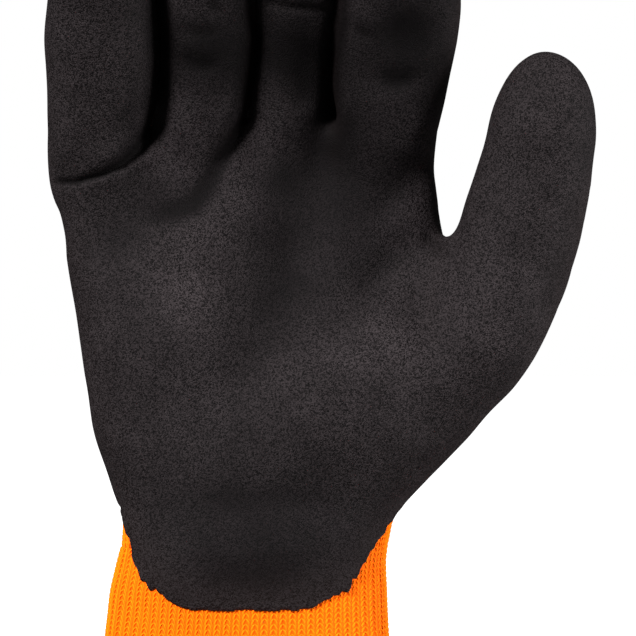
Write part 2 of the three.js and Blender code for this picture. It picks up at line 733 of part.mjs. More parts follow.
// The cuff's outer face has ribs: each step of the grid's rings is cut into whole ribs, so their
// crests stay as far from the latex as the knitted hand does.
function knitCuff() {
  const cuffRows = rows.slice(0, joint + 1);
  const outerDepth = COAT_WALL + SEAT_GAP;
  const points = [];
  const ribbed = cuffRows.map((ring, n) => {
    const level = skin.points[ring[0]].z - (n === joint ? SEAT_GAP / 2 : 0);
    const made = [];
    ring.forEach((i, k) => {
      const next = ring[(k + 1) % ring.length];
      const halves = 2 * RIBS_PER_COLUMN;
      for (let half = 0; half < halves; half++) {
        const depth = outerDepth + (half % 2 ? RIB_DEPTH : 0);
        const point = levelInset(i, depth).lerp(levelInset(next, depth), half / halves);
        point.z = level;
        made.push(points.push(point) - 1);
      }
    });
    return made;
  });
  const lining = cuffRows.map((ring, n) =>
    ring.map((i) => {
      const point = levelInset(i, outerDepth + KNIT_WALL);
      point.z = skin.points[i].z - (n === joint ? SEAT_GAP / 2 : 0);
      return points.push(point) - 1;
    }),
  );
  const index = [];
  const band = (lower, upper) =>
    lower.forEach((a, i) => {
      const next = (i + 1) % lower.length;
      index.push(a, lower[next], upper[next], a, upper[next], upper[i]);
    });
  for (let n = 0; n < joint; n++) {
    band(ribbed[n], ribbed[n + 1]);
    band([...lining[n]].reverse(), [...lining[n + 1]].reverse());
  }
  const rim = (outside, inside, flip) => {
    const per = outside.length / inside.length;
    inside.forEach((b, k) => {
      const nextInside = inside[(k + 1) % inside.length];
      for (let half = 0; half < per; half++) {
        const a = outside[k * per + half];
        const c = outside[(k * per + half + 1) % outside.length];
        index.push(...(flip ? [a, b, c] : [a, c, b]));
      }
      const c = outside[((k + 1) * per) % outside.length];
      index.push(...(flip ? [b, nextInside, c] : [b, c, nextInside]));
    });
  };
  rim(ribbed[0], lining[0], true);
  rim(ribbed[joint], lining[joint], false);
  const geometry = new THREE.BufferGeometry().setFromPoints(points);
  geometry.setIndex(index);
  return geometry;
}

// The overlocked hem: a channel that holds the cuff's end, swept round the mouth. Each corner of
// its profile is set in from the grid's first or second ring.
function cuffHem() {
  const outside = COAT_WALL;
  const inside = COAT_WALL + SEAT_GAP + KNIT_WALL + SEAT_GAP;
  const profile = [
    { row: 0, depth: outside - HEM_WALL + HEM_ROUND, height: 0 },
    { row: 0, depth: outside - HEM_WALL, height: HEM_ROUND },
    { row: 1, depth: outside - HEM_WALL, height: HEM_HEIGHT },
    { row: 1, depth: outside, height: HEM_HEIGHT },
    { row: 0, depth: outside, height: HEM_WALL },
    { row: 0, depth: inside, height: HEM_WALL },
    { row: 1, depth: inside, height: HEM_HEIGHT },
    { row: 1, depth: inside + HEM_WALL, height: HEM_HEIGHT },
    { row: 0, depth: inside + HEM_WALL, height: HEM_ROUND },
    { row: 0, depth: inside + HEM_WALL - HEM_ROUND, height: 0 },
  ];
  const points = [];
  const index = [];
  rows[0].forEach((_, k) => {
    for (const { row, depth, height } of profile) {
      points.push(levelInset(rows[row][k], depth).setZ(height));
    }
  });
  const size = profile.length;
  const count = rows[0].length;
  for (let k = 0; k < count; k++) {
    for (let n = 0; n < size; n++) {
      const [a, b] = [k * size + n, k * size + ((n + 1) % size)];
      const [c, d] = [((k + 1) % count) * size + ((n + 1) % size), ((k + 1) % count) * size + n];
      index.push(a, c, b, a, d, c);
    }
  }
  const geometry = new THREE.BufferGeometry().setFromPoints(points);
  geometry.setIndex(index);
  return geometry;
}

const knitMaterial = () => new THREE.MeshStandardMaterial({ color: 0xff7a0a, roughness: 0.9, metalness: 0 });
const coatMaterial = () => new THREE.MeshStandardMaterial({ color: 0x1d1a1b, roughness: 0.75, metalness: 0 });

function piece(name, geometry, material) {
  geometry.computeVertexNormals();
  const mesh = new THREE.Mesh(geometry, material);
  mesh.name = name;
  return mesh;
}

const glove = new THREE.Group();
glove.add(piece("knit_hand", knitWall(HAND), knitMaterial()));
for (const name of Object.keys(HOLD)) glove.add(piece(`knit_${name}`, knitWall(name), knitMaterial()));
glove.add(piece("palm_coating", palmCoating(), coatMaterial()));
glove.add(piece("knit_cuff", knitCuff(), knitMaterial()));
glove.add(piece("cuff_hem", cuffHem(), knitMaterial()));

export default glove;
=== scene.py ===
import math

import bpy
import numpy as np
from mathutils import Matrix, Vector, noise


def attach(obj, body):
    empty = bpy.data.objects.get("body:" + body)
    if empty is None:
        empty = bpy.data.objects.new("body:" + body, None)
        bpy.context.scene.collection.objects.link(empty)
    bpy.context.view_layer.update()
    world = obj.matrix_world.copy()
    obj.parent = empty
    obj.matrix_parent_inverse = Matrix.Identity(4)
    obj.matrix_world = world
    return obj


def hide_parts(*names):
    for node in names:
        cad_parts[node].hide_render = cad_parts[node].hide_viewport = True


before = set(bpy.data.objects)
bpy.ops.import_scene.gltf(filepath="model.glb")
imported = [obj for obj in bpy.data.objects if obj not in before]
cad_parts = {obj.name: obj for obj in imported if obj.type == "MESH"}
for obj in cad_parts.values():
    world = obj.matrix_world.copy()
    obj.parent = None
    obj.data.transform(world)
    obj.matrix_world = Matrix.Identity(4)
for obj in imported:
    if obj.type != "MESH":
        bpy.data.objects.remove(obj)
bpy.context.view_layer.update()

bl_info = {
    "name": "Latex coated grip glove",
    "version": (1, 0, 0),
    "blender": (4, 5, 0),
    "location": "View3D > Sidebar > Glove",
    "description": "Builds a knitted work glove with a dipped latex palm around its packed model",
    "category": "Object",
}

# The form is worked out in millimetres, +Z to the fingertips, the palm facing -Y and the thumb on
# the +X side, and is written into meshes in metres.
MM = 0.001

# The cuff, the wrist and the hand without its thumb
CUFF_LENGTH = 62
CUFF_WIDTH = 86
CUFF_DEPTH = 54
HEM_HEIGHT = 7
CUFF_START = 1.6
WRIST_WIDTH = 75
WRIST_DEPTH = 47
PALM_LENGTH = 116
KNUCKLE_DEPTH = 27
KNUCKLE_ARCH = 5
HAND_SHIFT = -3
FINGER_LENGTH = 83
FINGER_WIDTH = 26
FINGER_DEPTH = 25
FINGER_GAP = -0.2
CROTCH_ROOM = 0.4
FINGER_PRESS = 1.5
CROTCH_REACH = 14
FINGER_POWER = 2.15
KNUCKLE_ROOT = 30
WEB_SHARE = 0.6

# The thumb
THUMB_CROTCH = 82
THUMB_DROP = 10
THUMB_LENGTH = 59
THUMB_WIDTH = 30
THUMB_DEPTH = 27
THUMB_WEB = 3.4
THUMB_SPREAD = 32
THUMB_SET = -12

# The latex's reach, and its lowest point and rise at the wrist
COAT_WRAP = 0.3
COAT_WEB = 0.8
COAT_ROUND = 1.4
COAT_TIP = 27
COAT_RAMP = 10
COAT_LOW = 46.3
COAT_RISE = 24
COAT_CORNER = 11

# The share of a section's half width that its front and back reach, the rounding of the tips as a
# share of the width, and how long the round is for its height
SIDE_REACH = 0.96
TIP_SHARE = 0.56
THUMB_TIP_SHARE = 0.8
TIP_TURN = 1.5
# Where along a finger its three bends are given, and where up its side the thumb's set begins
BENDS = (0, 0.45, 1)
THUMB_SET_START = 0.1
# Where on its way up the hand begins to part into the thumb and the fingers, and the wraps over
# which the front's mounds begin
THUMB_SPLIT = 0.35
FINGER_SPLIT = 0.05
RELIEF_FRONT = (0.1, 0.9)


def table(columns, *rows):
    """A short table: each column by its name, as an array of its values."""
    return {name: np.array(values, float) for name, values in zip(columns.split(), zip(*rows))}


def records(columns, *rows):
    """A short table as one dictionary for each row."""
    return [dict(zip(columns.split(), row)) for row in rows]


# Fingers: width, depth and length are shares of the named sizes, drop a share of the palm's length
# and set a share of the knuckles' depth. The lean, roll and bends are degrees.
FINGERS = records(
    "name width depth length drop set flare lean roll root middle tip",
    ("little", 1.07, 1, 0.747, 0.03, -0.204, 0.04, 1.8, 6, 24, 32, 44),
    ("ring", 1, 1, 0.916, 0.0043, 0.0185, 0.04, 2, 3, 20, 30, 38),
    ("middle", 0.97, 1, 1, 0, 0.222, 0.05, 3, -1, 18, 29, 37),
    ("index", 1.07, 1.02, 0.904, 0.0086, -0.0556, 0.17, 6, -6, 23, 31, 31),
)
FINGER_TAPER = table(
    "at size flare", (0, 1, 0), (0.2, 1, 0.6), (0.45, 1, 1), (0.7, 0.93, 0.4), (1, 0.86, 0)
)
THUMB_TAPER = table(
    "at size", (0, 1.187), (0.1, 1.13), (0.2, 1.108), (0.36, 1.06), (0.6, 0.99), (1, 0.95)
)
THUMB_LEAN = table(
    "at lean", (0, 18), (0.15, 16.5), (0.3, 14), (0.5, 9.5), (0.7, 5), (0.85, 1), (1, 0)
)
# The cuff from its mouth up: how far each side and the depth are out from the wrist's to the cuff's
CUFF_OUTLINE = table(
    "at little thumb deep",
    (0, 1, 1, 1), (0.3, 1, 0.5, 0.7), (0.6, 0.87, 0.08, 0.3), (0.7, 0.72, 0.01, 0.16),
    (0.82, 0.51, -0.06, 0.07), (0.93, 0.22, -0.1, 0.02), (1, 0.04, 0, 0),
)
# The hand from the wrist up: how far each side, the web and the depth are on their way to the
# knuckles, and the section's power
HAND_OUTLINE = table(
    "at little web thumb thin power",
    (0, 0, 0, 0, 0, 2.15),
    (0.08, -0.01, 0.14, 0.14, 0.1, 2.2),
    (0.14, 0.1, 0.27, 0.27, 0.2, 2.25),
    (0.26, 0.335, 0.46, 0.46, 0.38, 2.4),
    (0.38, 0.46, 0.62, 0.62, 0.53, 2.5),
    (0.55, 0.62, 0.82, 0.82, 0.7, 2.6),
    (0.67, 0.74, 0.95, 1.1, 0.8, 2.7),
    (0.713, 0.755, 1, 1.13, 0.84, 2.7),
    (0.755, 0.785, 1, 1.08, 0.88, 2.75),
    (0.79, 0.82, 1, 1.06, 0.91, 2.8),
    (0.82, 0.89, 1, 1.07, 0.93, 2.8),
    (0.86, 0.95, 1, 1.06, 0.95, 2.8),
    (0.91, 0.98, 1, 0.99, 0.97, 2.85),
    (1, 1, 1, 1, 1, 2.9),
)
# The thumb's outer side, from the wrist to where the thumb leaves the hand
THUMB_OUTLINE = table(
    "at out",
    (0, 0), (0.135, 0.055), (0.225, 0.17), (0.32, 0.31), (0.41, 0.435), (0.51, 0.555),
    (0.6, 0.685), (0.7, 0.79), (0.79, 0.86), (0.885, 0.92), (1, 1),
)
# The latex's edge: at is a share of a quarter turn from the middle of the front, rise of COAT_RISE
COAT_EDGE = table(
    "at rise",
    (0, 0), (0.24, 0), (0.3, 0.03), (0.36, 0.1), (0.43, 0.2), (0.55, 0.38), (0.64, 0.6),
    (0.73, 0.82), (0.85, 1), (1, 1.08), (1.3, 1.2),
)

# Mounds and hollows: across is a share of the knuckles' half width from the hand's middle, up, wide
# and tall are shares of the palm's length, slant is degrees and rise a share of the knuckles' depth
MOUNDS = records(
    "name across up wide tall slant rise",
    ("thumb mound", 0.55, 0.4, 0.2, 0.34, -42, 0.2),
    ("little finger mound", -0.5, 0.52, 0.2, 0.36, 8, 0.13),
    ("palm hollow", 0.1, 0.62, 0.15, 0.36, -24, -0.2),
    ("heel hollow", -0.02, 0.12, 0.26, 0.12, 0, -0.06),
    ("knuckle pad", 0, 0.93, 0.5, 0.1, 4, 0.08),
)
# Soft creases, from one end to the other in the same shares
CREASES = records(
    "name start end wide deep",
    ("little finger root", (-1, 0.855), (-0.5, 1), 0.045, 0.05),
    ("ring finger root", (-0.66, 0.72), (-0.2, 0.93), 0.06, 0.08),
    ("thumb root", (0.86, 0.7), (0.42, 0.5), 0.05, 0.07),
)

SHARES = sum(finger["width"] for finger in FINGERS)
KNUCKLE_WIDTH = FINGER_WIDTH * SHARES + FINGER_GAP * (len(FINGERS) - 1)
KNUCKLE_LITTLE = HAND_SHIFT - KNUCKLE_WIDTH / 2
KNUCKLE_THUMB = HAND_SHIFT + KNUCKLE_WIDTH / 2
THUMB_BASE = THUMB_CROTCH - THUMB_DROP
THUMB_ROLL = -math.degrees(math.atan2(-THUMB_SET, THUMB_SPREAD))
GROUPS = len(FINGERS) + 1
BACKWARD = np.array([0.0, 1.0, 0.0])


def lerp(a, b, share):
    return a + (b - a) * share


def smoothstep(x, low, high):
    t = np.clip((x - low) / (high - low), 0, 1)
    return t * t * (3 - 2 * t)


def unit(v):
    return v / np.maximum(np.linalg.norm(v, axis=-1, keepdims=True), 1e-12)


def read(rows, column, at):
    """A value of a table's column between its rows, on a smooth curve through them."""
    places, values = rows["at"], rows[column]
    last = len(places) - 1
    place = np.clip(at, places[0], places[-1])
    i = np.clip(np.searchsorted(places, place) - 1, 0, last - 1)
    before = np.maximum(np.arange(last + 1) - 1, 0)
    after = np.minimum(np.arange(last + 1) + 1, last)
    slopes = (values[after] - values[before]) / (places[after] - places[before])
    span = places[i + 1] - places[i]
    t = (place - places[i]) / span
    start = (1 + 2 * t) * (1 - t) ** 2
    pull = t * (1 - t) ** 2 * span * slopes[i]
    push = t * t * (t - 1) * span * slopes[i + 1]
    return start * values[i] + (1 - start) * values[i + 1] + pull + push


# A ring is an array of rows x, y, z and wrap, from -1 at the front to 1 at the back.
class Grid:
    """How finely the glove's face is cut: steps over a finger, round a side, and between rows."""

    def __init__(self, front, side, row):
        self.front = front
        self.side = side
        self.row = row

    def rows(self, length):
        return max(3, round(length / self.row))


def superellipse(turn, power):
    c, s = np.cos(turn), np.sin(turn)
    across = np.sign(c) * np.abs(c) ** (2 / power)
    return np.stack([across, np.sign(s) * np.abs(s) ** (2 / power)], 1)


def ring_spots(groups, power, grid):
    """The places round a section: over the front, the thumb's side, the back, the little side."""
    one = groups == 1
    edge = math.pi / 6 if one else math.acos(SIDE_REACH ** (power / 2))
    share = np.arange(groups * grid.front + 1) / (groups * grid.front)

    def face(shares, side):
        if one:
            return superellipse(side * lerp(math.pi - edge, edge, shares), power)
        across = SIDE_REACH * (2 * shares - 1)
        return np.stack([across, side * (1 - np.abs(across) ** power) ** (1 / power)], 1)

    inner = np.arange(1, grid.side) / grid.side
    thumb_side = superellipse(lerp(-edge, edge, inner), power)
    little_side = superellipse(lerp(math.pi - edge, math.pi + edge, inner), power)
    return np.vstack([face(share, -1), thumb_side, face(share[::-1], 1), little_side])


def ring_of(section, groups, grid):
    """A section's ring: between its two ends, out by its half depths along its axis."""
    spots = ring_spots(groups, section["power"], grid)
    across, deep = spots[:, :1], spots[:, 1:]
    points = lerp(section["little"], section["thumb"], (across + 1) / 2)
    points = points + section["axis"] * (deep * section["deep"] + section["arch"] * (1 - across**2))
    return np.hstack([points, deep])


def cuff_reach(at):
    """How far the cuff reaches to the little finger's side, the thumb's side and the front."""
    widen = (CUFF_WIDTH - WRIST_WIDTH) / 2
    little = WRIST_WIDTH / 2 + widen * read(CUFF_OUTLINE, "little", at)
    thumb = WRIST_WIDTH / 2 + widen * read(CUFF_OUTLINE, "thumb", at)
    return little, thumb, lerp(WRIST_DEPTH, CUFF_DEPTH, read(CUFF_OUTLINE, "deep", at)) / 2


def cuff_section(height):
    little, thumb, deep = cuff_reach(height / CUFF_LENGTH)
    return {
        "little": np.array([-little, 0, height]),
        "thumb": np.array([thumb, 0, height]),
        "deep": deep,
        "axis": BACKWARD,
        "arch": 0,
        "power": HAND_OUTLINE["power"][0],
    }


def hand_section(up):
    at = up / PALM_LENGTH
    half = WRIST_WIDTH / 2
    little = -lerp(half, -KNUCKLE_LITTLE, read(HAND_OUTLINE, "little", at))
    web = lerp(half * WEB_SHARE, KNUCKLE_THUMB + THUMB_WEB, read(HAND_OUTLINE, "web", at))
    side = lerp(half, KNUCKLE_THUMB, read(HAND_OUTLINE, "thumb", at))
    z = CUFF_LENGTH + up
    return {
        "little": np.array([little, 0, z]),
        "thumb": np.array([side if up > THUMB_CROTCH else web, 0, z]),
        "deep": lerp(WRIST_DEPTH, KNUCKLE_DEPTH, read(HAND_OUTLINE, "thin", at)) / 2,
        "axis": BACKWARD,
        "arch": KNUCKLE_ARCH * smoothstep(at, 0, 1),
        "power": read(HAND_OUTLINE, "power", at),
    }


def thumb_side(share):
    edge = KNUCKLE_THUMB + THUMB_WEB + THUMB_SPREAD
    x = lerp(WRIST_WIDTH / 2, edge, read(THUMB_OUTLINE, "out", share))
    y = THUMB_SET * smoothstep(share, THUMB_SET_START, 1)
    return np.array([x, y, CUFF_LENGTH + THUMB_BASE * share])


def heel_section(share):
    return {**hand_section(THUMB_CROTCH * share), "thumb": thumb_side(share)}


def thumb_root_section(share):
    hand = hand_section(THUMB_CROTCH * share)
    deep = THUMB_DEPTH * THUMB_TAPER["size"][0] / 2
    ends = {"little": hand["thumb"], "thumb": thumb_side(share)}
    side = unit(ends["thumb"] - ends["little"])
    square = unit(np.cross([0, 0, 1], side))
    return {
        **ends,
        "deep": lerp(hand["deep"], deep, smoothstep(share, 0, 1)),
        "axis": unit(lerp(BACKWARD, square, share)),
        "arch": 0,
        "power": FINGER_POWER,
    }


def finger_line(finger, reach):
    """A finger's middle line: its place, direction and side at a distance past its crotch."""
    knuckle = -finger["knuckle"] / finger["length"]
    turns = zip(BENDS, (finger["root"], finger["middle"], finger["tip"]))
    bend = table("at turn", (knuckle, 0), *turns)

    def heading(s):
        share = s / finger["length"]
        turn = math.radians(read(bend, "turn", share))
        lean = math.radians(finger["lean"] if "lean" in finger else read(THUMB_LEAN, "lean", share))
        ahead = math.cos(turn)
        forward = Vector((math.sin(lean) * ahead, -math.sin(turn), math.cos(lean) * ahead))
        level = Vector((math.cos(lean), 0, -math.sin(lean)))
        level.rotate(Matrix.Rotation(math.radians(finger["roll"]), 3, forward))
        return np.array(forward), np.array(level)

    steps = max(1, math.ceil(abs(reach)))
    step = reach / steps
    place = finger["start"].copy()
    for i in range(steps):
        place = place + heading((i + 0.5) * step)[0] * step
    return (place, *heading(reach))


def tube_section(finger, reach):
    place, forward, side = finger_line(finger, reach)
    share = reach / finger["length"]
    tip = finger["width"] * finger["tip_share"]
    past = np.clip((reach - (finger["length"] - tip)) / tip, 0, 1)
    size = read(finger["taper"], "size", share) * math.sqrt(1 - past**2)
    flare = 1 + finger["flare"] * read(FINGER_TAPER, "flare", share)
    wide = finger["width"] * size * flare / 2
    room = lerp(CROTCH_ROOM / 2, -FINGER_PRESS, smoothstep(reach, 0, CROTCH_REACH))
    return {
        "little": place + side * (room * finger["beside"][0] - wide),
        "thumb": place + side * (wide - room * finger["beside"][1]),
        "deep": finger["depth"] * size / 2,
        "axis": np.cross(forward, side),
        "arch": 0,
        "power": FINGER_POWER,
    }


def placed_fingers():
    placed, edge = [], KNUCKLE_LITTLE
    for n, finger in enumerate(FINGERS):
        width = FINGER_WIDTH * finger["width"]
        start = [edge + width / 2, KNUCKLE_DEPTH * finger["set"]]
        start.append(CUFF_LENGTH + PALM_LENGTH * (1 - finger["drop"]))
        edge += width + FINGER_GAP
        placed.append({
            **finger,
            "start": np.array(start),
            "beside": (min(n, 1), min(len(FINGERS) - 1 - n, 1)),
            "knuckle": KNUCKLE_ROOT,
            "width": width,
            "depth": FINGER_DEPTH * finger["depth"],
            "length": FINGER_LENGTH * finger["length"],
            "taper": FINGER_TAPER,
            "tip_share": TIP_SHARE,
        })
    return placed


def placed_thumb():
    root = thumb_root_section(1)
    return {
        "name": "thumb", "start": (root["little"] + root["thumb"]) / 2, "beside": (0, 0),
        "roll": THUMB_ROLL, "root": 7, "middle": 12, "tip": 17, "knuckle": 1, "flare": 0,
        "width": THUMB_WIDTH, "depth": THUMB_DEPTH, "length": THUMB_LENGTH,
        "taper": THUMB_TAPER, "tip_share": THUMB_TIP_SHARE,
    }


def hand_shares(points):
    """The places of points on the palm, as shares across and up that measure alike."""
    across = (points[:, 0] - HAND_SHIFT) / PALM_LENGTH
    return np.stack([across, (points[:, 2] - CUFF_LENGTH) / PALM_LENGTH], 1)


def spread(place):
    return np.array([place[0] * KNUCKLE_WIDTH / 2 / PALM_LENGTH, place[1]])


def beside_line(places, start, end):
    """Each place's distance from a straight stretch, signed by side, and its share along it."""
    a, b = spread(start), spread(end)
    along = b - a
    t = np.clip((places - a) @ along / (along @ along), 0, 1)
    off = places - a - t[:, None] * along
    side = np.sign(along[0] * off[:, 1] - along[1] * off[:, 0])
    return np.linalg.norm(off, axis=1) * np.where(side == 0, 1, side), t


def relief(points):
    places = hand_shares(points)
    rise = np.zeros(len(points))
    for mound in MOUNDS:
        slant = math.radians(mound["slant"])
        away = places - spread((mound["across"], mound["up"]))
        u = (away[:, 0] * math.cos(slant) + away[:, 1] * math.sin(slant)) / mound["wide"]
        v = (away[:, 1] * math.cos(slant) - away[:, 0] * math.sin(slant)) / mound["tall"]
        rise += mound["rise"] * np.exp(-u * u - v * v)
    for crease in CREASES:
        away, _ = beside_line(places, crease["start"], crease["end"])
        rise -= crease["deep"] * np.exp(-((away / crease["wide"]) ** 2))
    return rise * KNUCKLE_DEPTH


class Skin:
    """The glove's outermost face: points with their wrap and the wrap that the latex reaches."""

    def __init__(self, grid):
        self.grid = grid
        self.made = []
        self.covers = []
        self.count = 0
        self.quads = []
        self.tips = []
        self.regions = {}

    def ring(self, ring, cover):
        moved = ring.copy()
        moved[:, 1] -= relief(ring) * smoothstep(-ring[:, 3], *RELIEF_FRONT)
        self.made.append(moved)
        self.covers.append(np.full(len(ring), cover))
        self.count += len(ring)
        return np.arange(self.count - len(ring), self.count)

    def join(self, lower, upper):
        corners = [lower, np.roll(lower, -1), np.roll(upper, -1), upper]
        self.quads.append(np.stack(corners, 1))

    def close(self, ring, point, cover):
        pole = self.ring(np.array([[*point, 0]]), cover)[0]
        tip = [ring, np.roll(ring, -1), np.full(len(ring), pole)]
        self.tips.append(np.stack(tip, 1))

    def finish(self):
        made = np.vstack(self.made)
        self.points, self.wraps = made[:, :3], made[:, 3]
        self.covers = np.concatenate(self.covers)
        self.quads = np.vstack(self.quads)
        self.tips = np.vstack(self.tips)


def sides_of(ring, groups, grid):
    """A ring's front, thumb's side, back and little side."""
    steps, side = groups * grid.front, grid.side
    return np.split(ring, [steps + 1, steps + side, 2 * steps + side + 1])


def joined_ring(parts, grid):
    """Neighbouring rings run together: where two meet, front and back are the mean of both."""

    def run(before, after):
        return np.vstack([before[:-1], (before[-1:] + after[:1]) / 2, after[1:]])

    sides = [sides_of(ring, groups, grid) for ring, groups in parts]
    front, back = sides[0][0], sides[0][2][::-1]
    for ahead, _, behind, _ in sides[1:]:
        front, back = run(front, ahead), run(back, behind[::-1])
    return np.vstack([front, sides[-1][1], back[::-1], sides[0][3]])


def cut_ring(skin, ring, groups, at, between):
    """A ring cut in two at a joint between fingers; both halves share the web between them."""
    cut = at * skin.grid.front
    front, side, back, rest = sides_of(ring, groups, skin.grid)
    web = skin.ring(between, COAT_WEB)
    little = np.concatenate([front[: cut + 1], web, back[len(back) - 1 - cut :], rest])
    thumb = np.concatenate([front[cut:], side, back[: len(back) - cut], web[::-1]])
    return little, thumb


def web_between(little, groups, thumb, grid):
    return (sides_of(little, groups, grid)[1] + sides_of(thumb, 1, grid)[3][::-1]) / 2


def grow_finger(skin, finger, base):
    tip = finger["width"] * finger["tip_share"]
    shaft = finger["length"] - tip
    capped = finger["length"] - COAT_TIP

    def cover(reach):
        share = smoothstep(reach, capped - COAT_RAMP, capped + COAT_RAMP)
        return lerp(COAT_WRAP, COAT_ROUND, share)

    count = skin.grid.rows(shaft)
    reaches = [shaft * i / count for i in range(1, count + 1)]
    turns = skin.grid.rows(tip * TIP_TURN)
    reaches += [shaft + tip * math.sin(math.pi / 2 * i / turns) for i in range(1, turns)]
    ring, rings = base, [base]
    for reach in reaches:
        upper = skin.ring(ring_of(tube_section(finger, reach), 1, skin.grid), cover(reach))
        skin.join(ring, upper)
        ring = upper
        rings.append(ring)
    skin.close(ring, finger_line(finger, finger["length"])[0], cover(finger["length"]))
    skin.regions[finger["name"]] = np.stack(rings)


def glove_skin(grid):
    """The whole face, from the cuff's mouth to the fingertips."""
    skin = Skin(grid)
    fingers = placed_fingers()
    ring = None

    def add(points, rings):
        nonlocal ring
        upper = skin.ring(points, COAT_WRAP)
        if ring is not None:
            skin.join(ring, upper)
        ring = upper
        rings.append(ring)

    cuff, heel, palm = [], [], []
    count = grid.rows(CUFF_LENGTH)
    for i in range(count):
        height = lerp(CUFF_START, CUFF_LENGTH, i / count)
        add(ring_of(cuff_section(height), GROUPS, grid), cuff)
    count = grid.rows(THUMB_CROTCH)
    for i in range(count + 1):
        share = i / count
        whole = ring_of(heel_section(share), GROUPS, grid)
        hand = ring_of(hand_section(THUMB_CROTCH * share), GROUPS - 1, grid)
        root = ring_of(thumb_root_section(share), 1, grid)
        split = joined_ring([(hand, GROUPS - 1), (root, 1)], grid)
        add(lerp(whole, split, smoothstep(share, THUMB_SPLIT, 1)), heel)
    cuff.append(heel[0])
    web = web_between(hand, GROUPS - 1, root, grid)
    ring, thumb_ring = cut_ring(skin, ring, GROUPS, GROUPS - 1, web)
    grow_finger(skin, placed_thumb(), thumb_ring)

    palm.append(ring)
    top = PALM_LENGTH - THUMB_CROTCH
    count = grid.rows(top)
    for i in range(1, count + 1):
        share = i / count
        whole = ring_of(hand_section(THUMB_CROTCH + top * share), GROUPS - 1, grid)
        tubes = [(ring_of(tube_section(f, -top * (1 - share)), 1, grid), 1) for f in fingers]
        split = joined_ring(tubes, grid)
        add(lerp(whole, split, smoothstep(share, FINGER_SPLIT, 1)), palm)
    for n, finger in enumerate(fingers[:-1]):
        web = web_between(tubes[n][0], 1, tubes[n + 1][0], grid)
        base, ring = cut_ring(skin, ring, len(fingers) - n, 1, web)
        grow_finger(skin, finger, base)
    grow_finger(skin, fingers[-1], ring)
    skin.regions.update(cuff=np.stack(cuff), heel=np.stack(heel), palm=np.stack(palm))
    skin.finish()
    return skin


